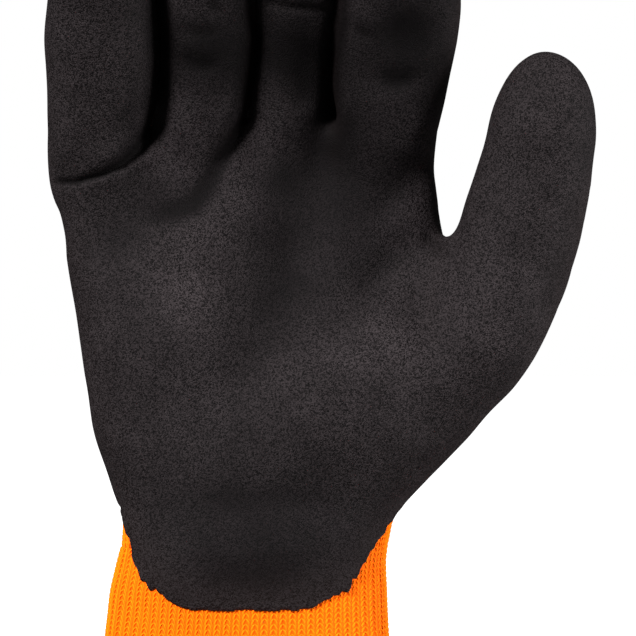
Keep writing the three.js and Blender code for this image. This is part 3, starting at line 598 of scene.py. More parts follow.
# Folds that the latex takes in the hand's grip. Each follows a path in shares of the palm, and on
# its left, seen along it, may rise to a roll that hangs over the groove. wide and deep go from
# their first value to their second over the stretch grow of its length. wide, deep, roll and hang
# are mm, ends is the share of its length over which each end fades, and the next how much the
# groove's colour is darkened as painted shade.
FOLDS = records(
    "name wide deep grow roll hang ends dark path",
    ("little finger fold", (1.2, 3.4), (1.5, 6.0), (0.1, 0.42), 0.0, 0.3, 0.06, 1.0, (
        (-1.02, 0.857), (-0.85, 0.855), (-0.72, 0.872), (-0.61, 0.898), (-0.53, 0.933),
        (-0.46, 0.99), (-0.43, 1.063), (-0.425, 1.146), (-0.43, 1.24), (-0.43, 1.6),
    )),
    ("ring finger fold", (4.0, 1.8), (1.0, 4.5), (0.2, 0.5), 0.6, 0.2, 0.15, 0.9, (
        (-0.6, 0.76), (-0.41, 0.779), (-0.26, 0.801), (-0.19, 0.843), (-0.13, 0.895), (-0.05, 0.96),
        (0.0, 1.016), (0.02, 1.075), (0.045, 1.146), (0.06, 1.19), (0.04, 1.24), (0.0, 1.5),
    )),
    ("index side gap", (2.6, 2.6), (5.0, 5.0), (0, 1), 0.3, 0.0, 0.12, 1.0, (
        (0.43, 0.97), (0.45, 1.051), (0.46, 1.129), (0.49, 1.209), (0.53, 1.5),
    )),
    ("index knuckle", (3.2, 3.2), (1.3, 1.3), (0, 1), 0.3, 0.2, 0.4, 0.7, (
        (0.64, 1.1), (0.78, 1.082), (0.94, 1.103),
    )),
    ("index diagonal", (1.9, 1.9), (0.8, 0.8), (0, 1), 0.2, 0.0, 0.4, 0.6, (
        (0.54, 1.22), (0.66, 1.165),
    )),
    ("index pad", (7, 7), (1.6, 1.6), (0, 1), 0.0, 0.0, 0.4, 0.5, ((0.6, 1.19), (1.05, 1.2))),
    ("index root", (5, 5), (1.0, 1.0), (0, 1), 0.3, 0.0, 0.4, 0.4, (
        (0.6, 0.7), (0.74, 0.815), (0.83, 0.845), (0.91, 0.893), (0.99, 0.95),
    )),
    ("thumb border", (5, 5), (1.0, 1.0), (0, 1), -0.5, 0.0, 0.4, 0.3, (
        (0.52, 0.5), (0.59, 0.565), (0.66, 0.612), (0.75, 0.673), (0.9, 0.74),
    )),
    ("palm valley", (7, 7), (2.2, 2.2), (0, 1), 0.0, 0.0, 0.3, 0.3, (
        (-0.18, 0.27), (0.05, 0.437), (0.2, 0.54), (0.28, 0.668), (0.3, 0.756), (0.26, 0.86),
    )),
    ("middle crease", (1.6, 1.6), (0.8, 0.8), (0, 1), 0.5, 0.3, 0.2, 0.5, (
        (0.04, 1.285), (0.22, 1.257), (0.48, 1.25),
    )),
    ("ring crease", (2.4, 2.4), (0.7, 0.7), (0, 1), 0.2, 0.1, 0.35, 0.6, (
        (-0.36, 1.15), (-0.21, 1.12), (-0.08, 1.135),
    )),
    ("ring upper crease", (1.6, 1.6), (0.4, 0.4), (0, 1), 0.2, 0.0, 0.35, 0.4, (
        (-0.36, 1.2), (-0.21, 1.19), (-0.06, 1.2),
    )),
    ("ring pad", (3, 3), (0.8, 0.8), (0, 1), 0.0, 0.0, 0.3, 0.6, ((-0.18, 1.24), (-0.1, 1.26))),
    ("middle pad", (4, 4), (1.2, 1.2), (0, 1), 0.0, 0.0, 0.3, 0.5, ((0.31, 1.0), (0.36, 1.2))),
    ("thumb mound edge", (7, 7), (1.2, 1.2), (0, 1), 0.0, 0.0, 0.4, 0.2, (
        (0.8, 0.23), (1.11, 0.361), (1.4, 0.43),
    )),
    ("wrist upper", (5, 5), (0.4, 0.4), (0, 1), 0.2, 0.0, 0.4, 0.5, (
        (-0.6, 0.13), (0.08, 0.116), (0.7, 0.135),
    )),
    ("wrist lower", (6, 6), (0.4, 0.4), (0, 1), 0.2, 0.0, 0.4, 0.5, (
        (-0.5, -0.03), (0.08, -0.06), (0.6, -0.03),
    )),
    ("thumb crotch", (3, 3), (1.0, 1.0), (0, 1), 0.0, 0.0, 0.3, 0.6, ((0.9, 0.73), (1.05, 0.69))),
)
# Mounds and hollows of the grip: place in shares of the palm, radius and height in mm
PADS = records(
    "name place wide high",
    ("little finger heel", (-0.26, 0.49), 14, 2.6),
    ("middle ridge", (0.02, 0.8), 8, 1.4),
    ("hollow", (0.7, 0.66), 17, -4.0),
    ("thumb heel", (0.55, 0.36), 16, 0.8),
    ("thumb heel top", (0.8, 0.43), 12, 1.2),
    ("index root", (0.72, 1.0), 13, 1.6),
    ("middle root", (0.24, 1.0), 12, 1.0),
)
# Where the latex's colour is made paler and darker in places: partly scuffing by use, partly
# painted highlights on the slopes that face the key light and painted shade in the hollows and on
# the fingers bent away from it. Place, radius in mm and how much, over the scuffing that it has
# everywhere
SCUFF_AND_PAINTED_LIGHT_REST = 0.58
SCUFF_AND_PAINTED_LIGHT_LIMITS = (0.06, 1.2)
SCUFF_AND_PAINTED_LIGHT = records(
    "name place wide worn",
    ("little finger heel", (-0.3, 0.6), 10, 0.3),
    ("little finger edge", (-0.66, 0.72), 10, -0.22),
    ("below the ring crease", (-0.46, 0.81), 9, -0.24),
    ("middle ridge", (-0.03, 0.83), 7, 0.12),
    ("middle ridge low", (-0.15, 0.72), 8, 0.14),
    ("ridge valley", (0.17, 0.86), 7, -0.28),
    ("palm valley", (0.19, 0.72), 9, -0.22),
    ("palm valley low", (0.15, 0.6), 9, -0.34),
    ("palm valley end", (0.03, 0.47), 9, -0.2),
    ("palm middle", (0.4, 0.58), 8, -0.2),
    ("hollow", (0.5, 0.84), 18, -0.4),
    ("hollow edge", (0.62, 0.66), 8, -0.14),
    ("thumb heel", (0.42, 0.41), 11, 0.1),
    ("thumb heel top", (0.74, 0.47), 12, 0.2),
    ("thumb pad", (1.55, 0.85), 22, 0.06),
    ("thumb low", (1.35, 0.5), 16, 0.2),
    ("little finger pad", (-0.85, 1.2), 16, 0.12),
    ("index finger", (0.85, 1.15), 20, -0.4),
    ("index dark", (0.83, 1.2), 7, -0.2),
    ("middle finger", (0.25, 1.15), 14, -0.52),
    ("ring finger", (-0.2, 1.15), 12, -0.48),
    ("index crotch", (0.45, 0.97), 9, -0.26),
    ("index side", (0.97, 0.96), 8, 0.4),
    ("wrist", (0.0, 0.0), 26, -0.32),
    ("wrist right", (0.4, 0.05), 16, -0.1),
)
# Slow unevenness of the whole face: the size of its waves and their height, in mm
WAVES = records("size height", (22, 0.35), (9, 0.16))
# The wraps over which the folds end at the sides, and how far from a fold's path, in its own
# widths, its roll and its hanging lip lie, with how wide they are
FOLD_FRONT = (-0.35, 0.4)
ROLL_AWAY, ROLL_WIDE = 1.6, 1.4
HANG_AWAY, HANG_WIDE = 0.9, 0.7


def scuff_and_painted_light_at(points):
    """How pale the latex's colour is at points, from scuffing by use and from painted highlights
    and painted shade: 1 is as pale as well used latex.
    """
    places = hand_shares(points)
    worn = np.full(len(points), SCUFF_AND_PAINTED_LIGHT_REST)
    for spot in SCUFF_AND_PAINTED_LIGHT:
        away = np.linalg.norm(places - spread(spot["place"]), axis=1) * PALM_LENGTH / spot["wide"]
        worn += spot["worn"] * np.exp(-(away**2))
    return np.clip(worn, *SCUFF_AND_PAINTED_LIGHT_LIMITS)


def path_place(places, path):
    """Each place's signed distance from a path, the share gone along it, and its direction."""
    lengths = [np.linalg.norm(spread(b) - spread(a)) for a, b in zip(path, path[1:])]
    walked = np.concatenate([[0], np.cumsum(lengths)]) / sum(lengths)
    away = np.full(len(places), np.inf)
    along = np.zeros(len(places))
    heading = np.zeros((len(places), 2))
    for n, (a, b) in enumerate(zip(path, path[1:])):
        distance, t = beside_line(places, a, b)
        nearer = np.abs(distance) < np.abs(away)
        away = np.where(nearer, distance, away)
        along = np.where(nearer, lerp(walked[n], walked[n + 1], t), along)
        heading[nearer] = unit(spread(b) - spread(a))
    return away * PALM_LENGTH, along, heading


def fold_shift(points, wraps, normals):
    """How the folds and the slow waves move points, and how much shade is painted into the colour
    where each lies in a fold.
    """
    places = hand_shares(points)
    shift = np.zeros((len(points), 3))
    dark = np.zeros(len(points))
    front = smoothstep(-wraps, *FOLD_FRONT)
    for fold in FOLDS:
        away, t, heading = path_place(places, fold["path"])
        grown = smoothstep(t, *fold["grow"])
        away = away / lerp(*fold["wide"], grown)
        fade = front * smoothstep(t, 0, fold["ends"]) * smoothstep(1 - t, 0, fold["ends"])
        groove = np.exp(-(away**2)) * fade
        roll = np.exp(-((away - ROLL_AWAY) ** 2) / ROLL_WIDE) * fade
        shift += BACKWARD * (groove * lerp(*fold["deep"], grown))[:, None]
        shift += normals * (roll * fold["roll"])[:, None]
        hang = np.exp(-((away - HANG_AWAY) ** 2) / HANG_WIDE) * fade * fold["hang"]
        shift[:, 0] += heading[:, 1] * hang
        shift[:, 2] -= heading[:, 0] * hang
        # Painted shade: the deeper in a groove, the more its colour is darkened
        dark = np.maximum(dark, groove * fold["dark"])
    for pad in PADS:
        away = np.linalg.norm(places - spread(pad["place"]), axis=1) * PALM_LENGTH / pad["wide"]
        shift -= BACKWARD * (np.exp(-(away**2)) * front * pad["high"])[:, None]
    for wave in WAVES:
        swell = [noise.noise(Vector(p / wave["size"])) for p in points]
        shift += normals * (np.array(swell) * wave["height"])[:, None]
    return shift, dark


def face_normals(points, faces):
    """Outward normals of points, from faces of three or four corners."""
    normals = np.zeros_like(points)
    for corners in faces:
        ends = points[corners]
        if corners.shape[1] == 4:
            normal = np.cross(ends[:, 2] - ends[:, 0], ends[:, 3] - ends[:, 1])
        else:
            normal = np.cross(ends[:, 1] - ends[:, 0], ends[:, 2] - ends[:, 0])
        for k in range(corners.shape[1]):
            np.add.at(normals, corners[:, k], normal)
    return unit(normals)


# Where the tubes of the thumb and the fingers run into the palm, the creases between them are
# eased: each path in shares of the palm, and the width in mm to each side of it. At the thumb's
# root the easing follows its ring. The share is how far a point goes to its neighbours' mean in a
# step, and the steps are those of the fine skin.
EASED = records(
    "name path wide",
    ("thumb side", ((0.98, 0.72), (0.98, 0.6), (0.86, 0.38), (0.6, 0.1)), 10),
    ("little finger side", ((-0.5, 0.93), (-0.46, 0.7)), 6),
    ("ring finger side", ((0.0, 0.95), (0.0, 0.7)), 6),
    ("index finger side", ((0.46, 0.95), (0.46, 0.7)), 6),
)
EASE_SHARE = 0.5
THUMB_EASE = 7
THUMB_EASE_SHARE = 0.3
THUMB_EASE_RAMP = 8
EASE_STEPS = 80
EASE_LEAST = 1e-3
EASE_FRONT = (-0.1, 0.2)


def eased(skin):
    """Smooths the skin's points near the eased paths, at the front."""
    places = hand_shares(skin.points)
    weight = np.zeros(len(skin.points))
    for seam in EASED:
        away, _, _ = path_place(places, seam["path"])
        weight = np.maximum(weight, np.exp(-((away / seam["wide"]) ** 2)))
    weight *= smoothstep(-skin.wraps, *EASE_FRONT) * EASE_SHARE
    thumb = placed_thumb()
    place, forward, _ = finger_line(thumb, 0)
    away = (skin.points - place) @ forward
    edge = place[0] - thumb["width"] / 2
    beside = smoothstep(skin.points[:, 0], edge, place[0] - THUMB_EASE_RAMP)
    ring = THUMB_EASE_SHARE * beside * np.exp(-((away / THUMB_EASE) ** 2))
    weight = np.maximum(weight, ring)
    corners = np.vstack([skin.quads[:, [k, (k + 1) % 4]] for k in range(4)])
    ends = np.vstack([corners, corners[:, ::-1]])
    moving = weight > EASE_LEAST
    ends = ends[moving[ends[:, 0]]]
    count = np.maximum(np.bincount(ends[:, 0], minlength=len(weight)), 1)
    points = skin.points.copy()
    for _ in range(round(EASE_STEPS * (FINE_ROW / skin.grid.row) ** 2)):
        for axis in range(3):
            place = points[:, axis]
            total = np.bincount(ends[:, 0], place[ends[:, 1]], len(weight))
            points[:, axis] = np.where(moving, lerp(place, total / count, weight), place)
    return points


def shaped(skin):
    """Gives a skin its smooth normals, its folded points and how deep in a fold each point lies."""
    skin.points = eased(skin)
    skin.normals = face_normals(skin.points, (skin.quads, skin.tips))
    # The crease mask is the painted shade of the folds
    shift, skin.crease = fold_shift(skin.points, skin.wraps, skin.normals)
    skin.folded = skin.points + shift
    return skin


# The fine skin's steps over a finger and round a side, and its rows' pitch in mm. The other skin is
# twice as coarse.
FINE_FRONT = 26
FINE_SIDE = 12
FINE_ROW = 0.95
FINE = 1
COARSE = 2
SKINS = {}


def skin_of(coarse):
    """The shaped skin, so many times as coarse as the fine one, made once."""
    if coarse not in SKINS:
        grid = Grid(FINE_FRONT // coarse, FINE_SIDE // coarse, FINE_ROW * coarse)
        SKINS[coarse] = shaped(glove_skin(grid))
    return SKINS[coarse]


# The latex's edge steps from wale to wale, because the latex stops at the knit's holes: the steps,
# a swell in each wale, the share of the steps in the front's middle, where they grow on the way to
# the side, the wales' pitch, and the ripple of the edge up the sides. Heights and sizes are mm.
EDGE_STEP = 1.3
EDGE_WOBBLE = 0.55
EDGE_LEVEL = 0.2
EDGE_STEEP = (0.32, 0.5)
FRONT_WALE = 2.45
RIPPLE_SIZE = 3.1
RIPPLE_HEIGHT = 0.9


def coat_depth(points, wraps, covers):
    """How far inside the latex's edge points lie, in mm: below nought there is bare knit."""
    little, thumb, deep = cuff_reach(np.clip(points[:, 2], 0, CUFF_LENGTH) / CUFF_LENGTH)
    middle = (thumb - little) / 2
    across = (points[:, 0] - middle) / ((thumb + little) / 2)
    turn = np.arctan2(np.abs(across), -points[:, 1] / deep) / (math.pi / 2)
    edge = COAT_LOW + COAT_RISE * read(COAT_EDGE, "rise", turn)
    wale = points[:, 0] / FRONT_WALE
    stepped = [noise.cell(Vector((w, 0.5, 0.5))) for w in np.floor(wale)]
    swell = np.cos((wale - np.floor(wale) - 0.5) * 2 * math.pi)
    steep = smoothstep(turn, *EDGE_STEEP)
    edge = edge + (np.array(stepped) - 0.5) * EDGE_STEP * lerp(EDGE_LEVEL, 1, steep)
    edge = edge - swell * EDGE_WOBBLE * steep
    low = points[:, 2] - edge
    wrapped = (covers - wraps) * KNUCKLE_DEPTH / 2
    ripple = [noise.noise(Vector(p / RIPPLE_SIZE)) for p in points]
    wrapped = wrapped + np.array(ripple) * RIPPLE_HEIGHT
    rounding = np.maximum(COAT_CORNER - np.abs(low - wrapped), 0) ** 2 / (4 * COAT_CORNER)
    return np.minimum(low, wrapped) - rounding


def make_mesh(name, points, faces, material, smooth=True):
    """A mesh object at the origin from points in mm and faces of any number of corners."""
    mesh = bpy.data.meshes.new(name)
    mesh.from_pydata((np.asarray(points) * MM).tolist(), [], faces)
    mesh.update()
    mesh.validate()
    mesh.polygons.foreach_set("use_smooth", [smooth] * len(mesh.polygons))
    mesh.materials.append(material)
    piece = bpy.data.objects.new(name, mesh)
    bpy.context.scene.collection.objects.link(piece)
    return piece


def set_floats(piece, name, values):
    attribute = piece.data.attributes.new(name, "FLOAT", "POINT")
    attribute.data.foreach_set("value", np.asarray(values, np.float32))


def closed_wall(outer, inner, faces):
    """Points and faces of a wall: an outer and an inner face, joined round their open edges."""
    used = sorted({i for corners in faces for i in corners})
    place = {i: n for n, i in enumerate(used)}
    count = len(used)
    points = np.vstack([outer[used], inner[used]])
    walls, edges = [], {}
    for corners in faces:
        near = [place[i] for i in corners]
        walls.append(near)
        walls.append([i + count for i in reversed(near)])
        for a, b in zip(near, near[1:] + near[:1]):
            if edges.pop((b, a), None) is None:
                edges[(a, b)] = True
    for a, b in edges:
        walls.append([a, a + count, b + count, b])
    return points, walls, np.array(used)


# A cut stays this share of an edge away from its ends, so that no face is a sliver
CUT_LEAST = 0.06


def cut_faces(skin, field):
    """The faces where the field is above nought, with those on the border cut along it. Returns the
    faces and, for each new point, the pair of points it lies between and its share."""
    faces, cuts, pairs = [], {}, []
    count = len(skin.points)

    def cut(a, b):
        key = (min(a, b), max(a, b))
        if key not in cuts:
            low, high = key
            share = field[low] / (field[low] - field[high])
            cuts[key] = count + len(pairs)
            pairs.append((low, high, min(max(share, CUT_LEAST), 1 - CUT_LEAST)))
        return cuts[key]

    for corners in [*skin.quads.tolist(), *skin.tips.tolist()]:
        inside = [field[i] > 0 for i in corners]
        if all(inside):
            faces.append(corners)
            continue
        if not any(inside):
            continue
        kept = []
        for n, a in enumerate(corners):
            b = corners[(n + 1) % len(corners)]
            if inside[n]:
                kept.append(a)
            if inside[n] != inside[(n + 1) % len(corners)]:
                kept.append(cut(a, b))
        if len(kept) > 2:
            faces.append(kept)
    return faces, pairs


def between(values, pairs):
    """A value of each point, with those of the new points on the cut added."""
    if not pairs:
        return values
    low, high, share = zip(*pairs)
    share = np.array(share)
    if values.ndim > 1:
        share = share[:, None]
    added = lerp(values[list(low)], values[list(high)], share)
    return np.concatenate([values, added])


# Sizes and colours that a user would change


class GloveLatex(bpy.types.PropertyGroup):
    """The dipped latex skin."""

    wall: bpy.props.FloatProperty(
        name="Thickness", description="How thick the latex is over the knit", default=0.001,
        min=0.0003, unit="LENGTH",
    )
    edge_round: bpy.props.FloatProperty(
        name="Edge rounding",
        description="How far in from its edge the latex reaches its full thickness",
        default=0.0015, min=0.0002, unit="LENGTH",
    )
    grain: bpy.props.FloatProperty(
        name="Grain size", description="The size of the sandy grains of the foamed surface",
        default=0.00028, min=0.0001, unit="LENGTH",
    )
    grain_rise: bpy.props.FloatProperty(
        name="Grain height", description="How far the grains stand out", default=0.00016, min=0,
        unit="LENGTH",
    )
    colour: bpy.props.FloatVectorProperty(
        name="Colour", description="The latex's own colour", default=(0.0011, 0.0007, 0.0008),
        size=3, min=0, max=1, subtype="COLOR",
    )
    # The dusty colour is also painted as highlights: more of it is mixed in where the grip's slopes
    # face the light, and less where shade is painted.
    scuff_and_painted_light_colour: bpy.props.FloatVectorProperty(
        name="Dusty colour", description="The colour of the grains' dry tops",
        default=(0.0385, 0.0315, 0.0332), size=3, min=0, max=1, subtype="COLOR",
    )
    thin_colour: bpy.props.FloatVectorProperty(
        name="Thin colour",
        description="The latex's colour near its edge, where the knit shows faintly through",
        default=(0.005, 0.0014, 0.0008), size=3, min=0, max=1, subtype="COLOR",
    )
    rough: bpy.props.FloatProperty(
        name="Roughness", description="How matt the latex is", default=0.72, min=0, max=1,
        subtype="FACTOR",
    )


class GloveKnit(bpy.types.PropertyGroup):
    """The knitted yarn."""

    cuff_course: bpy.props.FloatProperty(
        name="Cuff course", description="The height of one row of stitches on the cuff",
        default=0.0014, min=0.0008, unit="LENGTH",
    )
    hand_course: bpy.props.FloatProperty(
        name="Hand course", description="The height of one row of stitches on the hand",
        default=0.0016, min=0.0008, unit="LENGTH",
    )
    yarn: bpy.props.FloatProperty(
        name="Yarn share", description="The yarn's radius as a share of a stitch's width",
        default=0.12675, min=0.05, max=0.3, subtype="FACTOR",
    )
    colour: bpy.props.FloatVectorProperty(
        name="Colour", description="The yarn's colour", default=(0.97, 0.205, 0.0015), size=3,
        min=0, max=1, subtype="COLOR",
    )
    # Painted shade: the colour between the stitches stands in for the shade in the holes between
    # them; it colours the knit's wall, and the stitches' random mottle runs towards it
    hole_shade_colour: bpy.props.FloatVectorProperty(
        name="Shaded colour",
        description="The colour between the stitches, where light passes through yarn",
        default=(0.93, 0.14, 0.0005), size=3, min=0, max=1, subtype="COLOR",
    )


class GloveStudio(bpy.types.PropertyGroup):
    """The stage."""

    key: bpy.props.FloatProperty(
        name="Key light", description="The strength of the large soft light in front and above",
        default=44.0, min=0, unit="POWER",
    )
    side: bpy.props.FloatProperty(
        name="Side light", description="The strength of the soft light from the thumb's side",
        default=17.0, min=0, unit="POWER",
    )
    sky: bpy.props.FloatProperty(
        name="Surround",
        description="The brightness of the pale surround as it lights the glove", default=0.12,
        min=0,
    )
    bounce: bpy.props.FloatProperty(
        name="Floor bounce",
        description="The share of the floor's light that falls back on the glove", default=0.2,
        min=0, max=1, subtype="FACTOR",
    )
    floor_colour: bpy.props.FloatVectorProperty(
        name="Floor colour", description="The plain pale floor", default=(0.92, 0.92, 0.92),
        size=3, min=0, max=1, subtype="COLOR",
    )


# Materials


def feed(tree, socket, value):
    """Gives an input a value, or joins another node's output to it."""
    if isinstance(value, bpy.types.NodeSocket):
        tree.links.new(value, socket)
    else:
        socket.default_value = value


def add_node(tree, kind, inputs=None, **settings):
    """A node with its settings, and its inputs by their name or number."""
    node = tree.nodes.new(kind)
    for name, value in settings.items():
        setattr(node, name, value)
    for name, value in (inputs or {}).items():
        feed(tree, node.inputs[name], value)
    return node


def new_material(name):
    """An empty material with its output and a Principled shader joined to it."""
    material = bpy.data.materials.new(name)
    material.use_nodes = True
    tree = material.node_tree
    tree.nodes.clear()
    shader = add_node(tree, "ShaderNodeBsdfPrincipled")
    add_node(tree, "ShaderNodeOutputMaterial", {"Surface": shader.outputs["BSDF"]})
    return material, tree, shader


def object_place(tree, squash=1.0):
    """Object coordinates in millimetres, squashed upwards by a share."""
    place = add_node(tree, "ShaderNodeTexCoord").outputs["Object"]
    inputs = {"Vector": place, "Scale": (1 / MM, 1 / MM, squash / MM)}
    return add_node(tree, "ShaderNodeMapping", inputs).outputs["Vector"]


def maths(tree, operation, *values):
    node = add_node(tree, "ShaderNodeMath", dict(enumerate(values)), operation=operation)
    return node.outputs["Value"]


def mixed_colour(tree, share, *colours):
    """Two colours mixed by a share: a Mix node has its colours after its numbers and vectors."""
    first, second = (c if isinstance(c, bpy.types.NodeSocket) else (*c, 1) for c in colours)
    node = add_node(tree, "ShaderNodeMix", data_type="RGBA")
    for n, value in ((0, share), (6, first), (7, second)):
        feed(tree, node.inputs[n], value)
    return node.outputs[2]


def ranged(tree, value, low, high, to_low=0.0, to_high=1.0):
    ends = {"From Min": low, "From Max": high, "To Min": to_low, "To Max": to_high}
    settings = {"interpolation_type": "SMOOTHSTEP"}
    node = add_node(tree, "ShaderNodeMapRange", {"Value": value, **ends}, **settings)
    return node.outputs["Result"]


def noise_at(tree, place, scale, detail=2.0):
    inputs = {"Vector": place, "Scale": scale, "Detail": detail}
    return add_node(tree, "ShaderNodeTexNoise", inputs).outputs["Fac"]


def attribute_of(tree, name):
    return add_node(tree, "ShaderNodeAttribute", attribute_name=name).outputs["Fac"]


def bumped(tree, shader, height, strength, distance):
    """Gives a shader a relief, with its distance in metres."""
    inputs = {"Height": height, "Strength": strength, "Distance": distance}
    feed(tree, shader.inputs["Normal"], add_node(tree, "ShaderNodeBump", inputs).outputs["Normal"])


# Spun yarn: how far its fibres are drawn out, and its slow and its fine mottle, each as the scale
# per mm and its share
FIBRE_DRAW = 0.3
YARN_SLOW = (0.35, 0.6)
YARN_FINE = (1.6, 0.4)
YARN_RANGE = (0.36, 0.62)
YARN_RELIEF = 0.6
YARN_ROUGH = 0.86
YARN_SPECULAR = 0.08


def yarn_fibres():
    """The node group of spun yarn: fine fibres for the bump, and a mottle for the colour."""
    group = bpy.data.node_groups.get("yarn fibres")
    if group:
        return group
    group = bpy.data.node_groups.new("yarn fibres", "ShaderNodeTree")
    for name, way in (("Fibre Size", "INPUT"), ("Mottle", "OUTPUT"), ("Height", "OUTPUT")):
        group.interface.new_socket(name, in_out=way, socket_type="NodeSocketFloat")
    start = group.nodes.new("NodeGroupInput")
    place = object_place(group)
    drawn = object_place(group, FIBRE_DRAW)
    fibres = noise_at(group, drawn, maths(group, "DIVIDE", 1.0, start.outputs["Fibre Size"]), 3.0)
    slow, fine = (noise_at(group, place, scale) for scale, _ in (YARN_SLOW, YARN_FINE))
    fine = maths(group, "MULTIPLY", fine, YARN_FINE[1])
    mottle = maths(group, "MULTIPLY_ADD", slow, YARN_SLOW[1], fine)
    add_node(group, "NodeGroupOutput", {"Mottle": mottle, "Height": fibres})
    return group


def yarn_material(name, colour, deep, fibre, depth, varied=True):
    """Matt spun yarn, its fibres' size and relief in mm, varied from stitch to stitch or not."""
    material, tree, shader = new_material(name)
    fibres = add_node(tree, "ShaderNodeGroup", node_tree=yarn_fibres())
    fibres.inputs["Fibre Size"].default_value = fibre
    share = ranged(tree, fibres.outputs["Mottle"], *YARN_RANGE)
    if varied:
        half = maths(tree, "MULTIPLY", share, 0.5)
        share = maths(tree, "MULTIPLY_ADD", attribute_of(tree, "shade"), 0.5, half)
    feed(tree, shader.inputs["Base Color"], mixed_colour(tree, share, deep, colour))
    bumped(tree, shader, fibres.outputs["Height"], YARN_RELIEF, depth * MM)
    shader.inputs["Roughness"].default_value = YARN_ROUGH
    shader.inputs["Specular IOR Level"].default_value = YARN_SPECULAR
    return material


# Painted shade: the knit's wall below the stitches is given the redder colour that the shaded
# insides of the loops show
WALL_SHADE_TINT = (0.96, 0.85, 1)
WALL_MOTTLE = 0.85
# How far a stitch's darkest colour is from the shaded colour to the yarn's own
SHADED = 0.55


def knit_materials():
    """The stitches' yarn, the wall's and the hem's thread, made once."""
    knit = bpy.context.scene.glove_knit
    colour, deep = np.array(knit.colour), np.array(knit.hole_shade_colour)
    # The wall's colour is painted shade, standing in for the shaded holes between the stitches
    shaded, wall = lerp(deep, colour, SHADED), deep * WALL_SHADE_TINT
    made = bpy.data.materials
    if "orange_yarn" not in made:
        yarn_material("orange_yarn", colour, shaded, 0.16, 0.08)
        yarn_material("orange_knit_wall", wall, wall * WALL_MOTTLE, 0.3, 0.1, varied=False)
        yarn_material("orange_hem_thread", colour, shaded, 0.14, 0.06)
    return made["orange_yarn"], made["orange_knit_wall"], made["orange_hem_thread"]


# The latex's grain: how much of its tone comes from single grains and how much from clumps of them,
# the clumps' and the slow clouds' scale, and how paler a grain's top is than the rest
GRAIN_TONE = 0.65
CLUMP_TONE = 0.7
CLUMP_SCALE = 0.55
GRAIN_RANGE = (0.4, 0.95)
CLOUD_SCALE = 0.09
CLOUD_RANGE = (0.3, 0.7, 0.85, 1.15)
DUST_REST = 0.06
# How a fold's depth takes the paleness away, as painted shade down in the folds, and how much of
# the thin colour shows at the edge
FOLD_SHADE_RANGE = (0.1, 0.9, 1.0, 0.2)
THIN_SHARE = 0.5
# How the grains change the roughness, and their relief
ROUGH_BELOW = 0.08
ROUGH_ABOVE = 0.1
CLUMP_RISE = 1.2
LATEX_RELIEF = 0.8
LATEX_SPECULAR = 0.06


def latex_material():
    """Foamed latex: a sandy grain whose dry, rougher tops are paler; the paleness is also laid out
    as painted highlights and painted shade over the grip, and taken away down in the folds as
    painted shade.
    """
    latex = bpy.context.scene.glove_latex
    material, tree, shader = new_material("black_foam_latex")
    place = object_place(tree)
    size = latex.grain / MM
    sand = add_node(tree, "ShaderNodeTexVoronoi", {"Vector": place, "Scale": 1 / size})
    shade = add_node(tree, "ShaderNodeSeparateColor", {"Color": sand.outputs["Color"]})
    clumps = noise_at(tree, place, CLUMP_SCALE / size)
    clumped = maths(tree, "MULTIPLY", clumps, CLUMP_TONE)
    tops = maths(tree, "MULTIPLY_ADD", shade.outputs["Red"], GRAIN_TONE, clumped)
    tops = ranged(tree, tops, *GRAIN_RANGE)
    cloud = ranged(tree, noise_at(tree, place, CLOUD_SCALE), *CLOUD_RANGE)
    # Painted highlights and painted shade: this mask, partly scuffing by use, sets how pale the
    # colour is over the grip
    worn = maths(tree, "MULTIPLY", attribute_of(tree, "worn"), cloud)
    # Painted shade: down in the folds the paler colour is taken away
    outside_fold_shade = ranged(tree, attribute_of(tree, "crease"), *FOLD_SHADE_RANGE)
    level = maths(tree, "MULTIPLY", worn, outside_fold_shade)
    dry = maths(tree, "MULTIPLY", maths(tree, "ADD", tops, DUST_REST), level)
    thin = maths(tree, "MULTIPLY", attribute_of(tree, "edge"), THIN_SHARE)
    deep = mixed_colour(tree, thin, latex.colour, latex.thin_colour)
    colours = mixed_colour(tree, dry, deep, latex.scuff_and_painted_light_colour)
    feed(tree, shader.inputs["Base Color"], colours)
    rough = (latex.rough - ROUGH_BELOW, latex.rough + ROUGH_ABOVE)
    feed(tree, shader.inputs["Roughness"], ranged(tree, tops, 0, 1, *rough))
    raised = maths(tree, "MULTIPLY", clumps, CLUMP_RISE)
    grains = maths(tree, "SUBTRACT", raised, sand.outputs["Distance"])
    bumped(tree, shader, grains, LATEX_RELIEF, latex.grain_rise)
    shader.inputs["Specular IOR Level"].default_value = LATEX_SPECULAR
    return material


# The latex

# How far in from its edge, in mm, the knit's colour shows faintly through the latex
THIN_LATEX = 16
# How much paler the very edge is made, partly as scuffing and partly as a painted highlight against
# the shade of its rounded edge, and how far in, in mm
EDGE_SCUFF_AND_PAINTED_LIGHT = 0.45
EDGE_PALENESS_REACH = 1.8
# The share of its thickness that the latex has at its very edge
EDGE_THICK = 0.3


